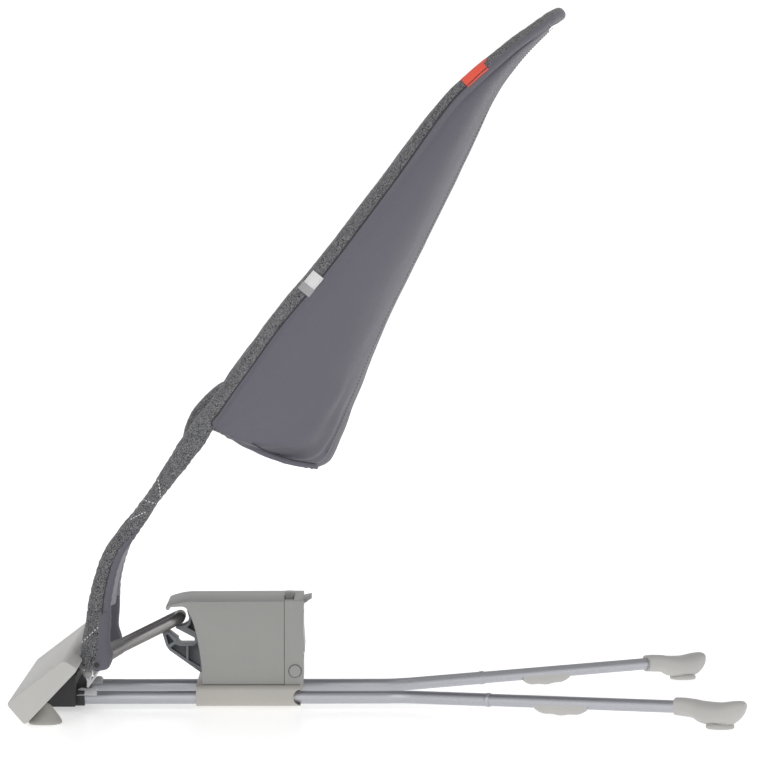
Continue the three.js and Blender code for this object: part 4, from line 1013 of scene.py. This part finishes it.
def build_hem(side, sign):
    """The gathered channel along the bag's lower edge, with a puckered seam above it, drawn as a thin dark
    line of painted seam shade.
    """
    lower, seam = [], []
    ribs = spline(BAG_RIBS, 200)
    for i, (up, forward, back_up) in enumerate(ribs[:90]):
        if forward > 237:
            break
        rim = rim_row(up)
        ahead = ribs[i + 1] - ribs[i]
        size = math.hypot(ahead[1], ahead[2])
        nf, nu = -ahead[2] / size, ahead[1] / size
        across = sign * (rim[2] - 30)
        lower.append(seat_spot(forward + nf * 5.4, back_up + nu * 5.4, across))
        pucker = 0.8 * math.sin(i * 2.1)
        seam.append(seat_spot(forward + nf * 9, back_up + nu * 9, sign * (rim[2] - 9 + pucker)))
    cord = tube(f"bag_hem_{side}", lower, 0.0033, NYLON, 18)
    drape(cord, lambda p: 0.0005 * math.sin(p.x * 900) + wrinkle(p, 160, 0.0006, 3))
    extra(cord, "bag_nylon", "seat")
    # The puckered seam's line is a thin dark tube in the seam-shade nylon: painted shade of the seam.
    pucker = tube(f"bag_hem_seam_{side}", seam, 0.0006, SEAM_SHADE_NYLON, 10)
    extra(pucker, "bag_nylon", "seat")


def build_bag_panel_seam(side, sign):
    """The seam that joins the side panel to the back panel."""
    share = 0.36 if sign > 0 else 0.64
    rows = bag_rows(110, 101, -0.9)
    line = [row[int(share * 100)] for row in rows[6:]]
    stitches(f"bag_back_seam_{side}", line, "seat", GREY_THREAD, 4.0, 2.6, 0.35)


def inflate(piece, voxel, pressure, cap, levels=1):
    """Swells a closed soft body with cloth, no vertex moving further than cap."""
    modified(piece, "REMESH", mode="VOXEL", voxel_size=voxel, use_smooth_shade=True)
    piece = flatten(piece)
    before = np.array([v.co[:] for v in piece.data.vertices])
    cloth = piece.modifiers.new("cloth", "CLOTH")
    cloth.settings.quality = 5
    cloth.settings.mass = 0.3
    cloth.settings.use_pressure = True
    cloth.settings.uniform_pressure_force = pressure
    cloth.settings.effector_weights.gravity = 0
    cloth.settings.tension_stiffness = 15
    cloth.settings.bending_stiffness = 0.5
    cloth.collision_settings.use_collision = False
    scene = bpy.context.scene
    for step in range(1, 21):
        scene.frame_set(step)
        bpy.context.view_layer.update()
    piece = flatten(piece)
    after = np.array([v.co[:] for v in piece.data.vertices])
    scene.frame_set(1)
    moved = after - before
    length = np.linalg.norm(moved, axis=1, keepdims=True)
    limited = before + moved * np.minimum(1.0, cap / np.maximum(length, 1e-9))
    piece.data.vertices.foreach_set("co", limited.ravel())
    piece.data.update()
    modified(piece, "SUBSURF", levels=levels, render_levels=levels)
    piece = flatten(piece)
    piece.data.polygons.foreach_set("use_smooth", [True] * len(piece.data.polygons))
    return piece


def build_pad():
    """The padded seat inside the bag, with sewn channels across it."""
    inner = bag_rows(90, 60, 13.0, 0.74, 4.0)
    outer = bag_rows(90, 60, 6.5, 0.74, 4.0)
    rows = [a + b[::-1] for a, b in zip(outer[3:-6], inner[3:-6])]
    pad = grid_piece("seat_pad_cushion", rows, PAD_FACE, closed=True, caps=True)
    pad = inflate(pad, 0.005, 2.5, 0.005, 1)
    pad.data.materials.clear()
    pad.data.materials.append(PAD_FACE)
    channels = [275, 330, 385, 440, 495, 550, 605]

    def sewn(point):
        up = (point.z - PIVOT.z) * 1000
        lean = (point.x - PIVOT.x) * 1000
        height = up * 0.86 + lean * 0.5 - 60
        nearest = min(abs(height - c) for c in channels)
        return -0.0035 * math.exp(-(nearest / 4.5) ** 2)

    drape(pad, sewn)
    stand_in(pad, "seat_pad", "seat")


def sheet_rows(heights, half_at, front, back, sag, around=28):
    """A padded sheet hung between the arms, as closed rows."""
    rows = []
    for up in heights:
        rim = rim_row(up)
        way = rim_normal(up)
        row = []
        for face, order in ((front, range(around)), (back, range(around - 1, -1, -1))):
            for i in order:
                share = -1 + 2 * i / (around - 1)
                rounded = (1 - abs(share) ** 6) ** 0.5 * 0.5 + 0.5
                offset = face * rounded - sag * (1 - share * share)
                row.append(off_rim(rim, way, offset, half_at(rim[2]) * share))
        rows.append(row)
    return rows


def build_leg_sling():
    heights = np.linspace(58, 244, 48)
    rows = []
    for up in heights:
        sag = float(np.interp(up, (58, 118, 150, 244), (9, 9, 3.4, 2)))
        rows += sheet_rows([up], lambda w: w - 4, 3.0, -3.0, sag)
    sling = grid_piece("leg_sling_panel", rows, LINING, closed=True, caps=True)
    drape(sling, lambda p: wrinkle(p, 24, 0.0016, 2) + wrinkle(p, 70, 0.0005, 9))
    stand_in(sling, "leg_sling", "seat")
    for side, sign in SIDES.items():
        line = []
        for up in heights:
            rim, way = rim_row(up), rim_normal(up)
            line.append(off_rim(rim, way, -2, sign * (rim[2] - 14)))
        stitches(f"sling_stitch_{side}", line, "seat", GREY_THREAD, 4.0, 2.6, 0.4)


def build_head_panel():
    rows = sheet_rows(np.linspace(640, 694, 26), lambda w: max(6.0, w - 3), 3.4, -3.4, 2.0, 40)
    panel = grid_piece("head_panel_knit", rows, RIM_KNIT, closed=True, caps=True)
    stand_in(panel, "head_panel", "seat")


def build_guard():
    """The padded crotch flap with its harness: two waist straps and a push-button buckle."""
    around = 48
    rows = []
    for up in np.linspace(228, 296, 40):
        rim, way = rim_row(up), rim_normal(up)
        swell = max(0.0, 1 - ((up - 264) / 33) ** 2) ** 0.5
        row = []
        for i in range(around):
            share = -1 + 2 * i / (around - 1)
            roll = math.exp(-((abs(share) - 0.8) / 0.17) ** 2)
            edge = (1 - share ** 8) ** 0.5
            front = 4 + (3.6 + 10 * swell * roll) * edge
            row.append(off_rim(rim, way, front, 49 * share))
        back = [off_rim(rim, way, 4, 47 * (1 - 2 * i / 11)) for i in range(12)]
        rows.append(row + back)
    guard = grid_piece("crotch_guard_flap", rows, GUARD_KNIT, closed=True, caps=True)
    guard = inflate(guard, 0.004, 3.0, 0.005, 1)
    guard.data.materials.clear()
    guard.data.materials.append(GUARD_KNIT)
    stand_in(guard, "crotch_guard", "seat")
    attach(softened("buckle", DARK, 0.0016, 4), "seat")
    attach(softened("buckle_button", CARRIAGE, 0.0008, 3), "harness_button")
    for side in SIDES:
        strap = softened(f"waist_strap_{side}", WEBBING, 0.0004, 2)
        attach(strap, "seat")


# ---------------------------------------------------------------- boots, tabs and stitching
BOOT = [
    (-6.4, -2.6, 12, 13), (-5.4, -3, 15, 15.4), (-3, -3.8, 17.6, 16.8), (0.5, -3.8, 19, 17.5),
    (6, -2, 18.9, 17.5), (12, -0.6, 17.6, 17.2), (25, -1.8, 15.2, 15.4), (40, -0.2, 14.2, 14),
    (57, 1.3, 13.2, 12.4),
]
BOOT_SQUARENESS = 0.85
HUB_SPAN = 86  # from the middle to each boot


def build_boots():
    for side, sign in SIDES.items():
        rows = []
        for up, forward, deep, wide in spline(BOOT, 40):
            row = []
            for k in range(44):
                angle = 2 * math.pi * k / 44
                row.append(seat_spot(forward + deep * squared(math.cos(angle), BOOT_SQUARENESS), up,
                                     sign * (HUB_SPAN + wide * squared(math.sin(angle), BOOT_SQUARENESS))))
            rows.append(row)
        boot = grid_piece(f"hub_boot_{side}_knit", rows, RIM_KNIT, closed=True, caps=True)
        drape(boot, lambda p: wrinkle(p, 60, 0.0009, 4) + wrinkle(p, 25, 0.001, 1))
        boot.data.materials.append(NYLON)
        for face in boot.data.polygons:
            up = (face.center.z - PIVOT.z) / MM
            if (face.center.x - PIVOT.x) / MM > np.interp(up, (-6, 0, 20, 45, 57), (-5, -3, 1.5, 3.4, 5)):
                face.material_index = 1
        stand_in(boot, f"hub_boot_{side}", "seat")


def outside_line(points, side, lift=0.6, samples=14):
    """A line on an arm's outer face, through forward and up pairs."""
    line = []
    for f, u in spline(points, samples):
        rim = rim_row(max(u, 24))
        nf, nu = rim_normal(max(u, 24))
        off = abs((f - rim[0]) * nf + (u - rim[1]) * nu) / rim[3]
        bulge = max(0.0, 1 - off * off) ** 0.5
        line.append(seat_spot(f, u, side * (rim[2] + rim[4] * bulge + lift)))
    return line


def build_decor():
    """White topstitching on the arms and on the boots."""
    runs = {"upper": [(67.2, 199.3), (68.6, 190), (69.2, 182)], "middle": [(51.2, 178.4), (63.4, 174.3)],
            "lower": [(58.6, 167.7), (48, 163), (37.5, 157.5)]}
    for side, sign in SIDES.items():
        for name, points in runs.items():
            stitches(f"arm_stitch_{name}_{side}", outside_line(points, sign), "seat", THREAD, 3.4, 2.2, 0.55)
        boot_run = [seat_spot(-15.4 + 2.0 * i, 25 + 1.9 * i, sign * (100.6 + 0.35 * min(i, 8 - i)))
                    for i in range(9)]
        stitches(f"boot_stitch_{side}", boot_run, "seat", THREAD, 3.2, 2.1, 0.5)


def wrapped_tab(name, node, low, high, start, stop, material, grow=0.9):
    """A tab folded over the sleeve on the child's left, from one angle round it to another."""
    rows = []
    for up in np.linspace(low, high, 14):
        rim, way = rim_row(up), rim_normal(up)
        outer, inner = [], []
        for angle in np.linspace(start, stop, 14):
            for extra, target in ((grow, outer), (grow - 0.7, inner)):
                front = (rim[3] + extra) * math.cos(angle)
                side = (rim[4] + extra) * math.sin(angle)
                target.append(off_rim(rim, way, front, -(rim[2] + side)))
        rows.append(outer + inner[::-1])
    tab = crease(grid_piece(name, rows, material, closed=True, caps=True), 50)
    if node:
        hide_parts(node)
    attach(tab, "seat")


def build_tabs():
    wrapped_tab("coral_tab_fold", "coral_tab", 618, 641, 0.5, 1.95, CORAL, 1.3)
    wrapped_tab("loop_label_fold", "loop_label", 403, 421, 0.9, 2.5, LABEL, 1.4)
    wrapped_tab("loop_label_back", None, 402, 409, 0.85, 2.55, LABEL_GREY, 1.9)


# ---------------------------------------------------------------- camera, floor and light
FLOOR_HALF = 14  # metres
FLOOR_GLOW = 0.5
CAMERA_PLACE = (-45, -4400, 530)
CAMERA_PITCH = math.radians(2.335)
CAMERA_YAW = math.radians(0.586)
LENS = 188.45


def build_stage():
    data = bpy.data.cameras.new("camera")
    data.lens = LENS
    data.sensor_width = 36
    data.clip_end = 60
    camera = bpy.data.objects.new("camera", data)
    camera.location = base_spot(*CAMERA_PLACE)
    camera.rotation_euler = (math.pi / 2 - CAMERA_PITCH, 0, -CAMERA_YAW)
    bpy.context.scene.collection.objects.link(camera)
    bpy.context.scene.camera = camera
    paint = Paint("white_sweep", Roughness=0.32, Specular_IOR_Level=0.35, Emission_Color=(1, 1, 1, 1),
                  Emission_Strength=FLOOR_GLOW)
    cloud = paint.noise(paint.place(), 3, 2)
    paint.feed("Base Color", paint.mix(cloud, (0.93, 0.93, 0.93, 1), (0.95, 0.95, 0.95, 1)))
    corners = [(x * FLOOR_HALF, y * FLOOR_HALF, 0) for x, y in ((-1, -1), (1, -1), (1, 1), (-1, 1))]
    link_mesh("floor", corners, [(0, 1, 2, 3)], paint.material)


def area_light(name, place, target, size, power):
    data = bpy.data.lights.new(name, "AREA")
    data.shape = "RECTANGLE"
    data.size, data.size_y = size
    data.energy = power
    light = bpy.data.objects.new(name, data)
    light.location = place
    light.rotation_euler = (Vector(target) - Vector(place)).to_track_quat("-Z", "Y").to_euler()
    bpy.context.scene.collection.objects.link(light)


def build_light():
    world = bpy.data.worlds.new("white_world")
    world.use_nodes = True
    nodes, links = world.node_tree.nodes, world.node_tree.links
    way = nodes.new("ShaderNodeTexCoord")
    parts = nodes.new("ShaderNodeSeparateXYZ")
    ramp = nodes.new("ShaderNodeValToRGB")
    ramp.color_ramp.elements[0].position, ramp.color_ramp.elements[0].color = 0.12, (1.05, 1.05, 1.05, 1)
    ramp.color_ramp.elements[1].position, ramp.color_ramp.elements[1].color = 0.6, (0.42, 0.42, 0.42, 1)
    links.new(way.outputs["Generated"], parts.inputs[0])
    links.new(parts.outputs["Z"], ramp.inputs["Fac"])
    links.new(ramp.outputs["Color"], nodes["Background"].inputs["Color"])
    bpy.context.scene.world = world
    area_light("key", (-1.3, -3.2, 1.7), (0, 0, 0.3), (1.5, 1.5), 16)
    area_light("top", (0.2, -0.2, 3.2), (0, 0, 0), (2.2, 2.2), 10)
    bpy.context.scene.view_settings.view_transform = "Standard"


build_stage()
build_light()
build_foot()
build_rails()
build_rear_feet()
build_pivot()
build_carriage()
build_sleeves()
build_bag()
build_pad()
build_leg_sling()
build_head_panel()
build_guard()
build_boots()
build_decor()
build_tabs()
for part in ("seat_tube_left", "seat_tube_right"):
    frame["nodes"][part].data.materials[0] = BAIL_STEEL
for part in ("seat_hub_left", "seat_hub_right"):
    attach(softened(part, DARK, 0.0006, 2), "seat")
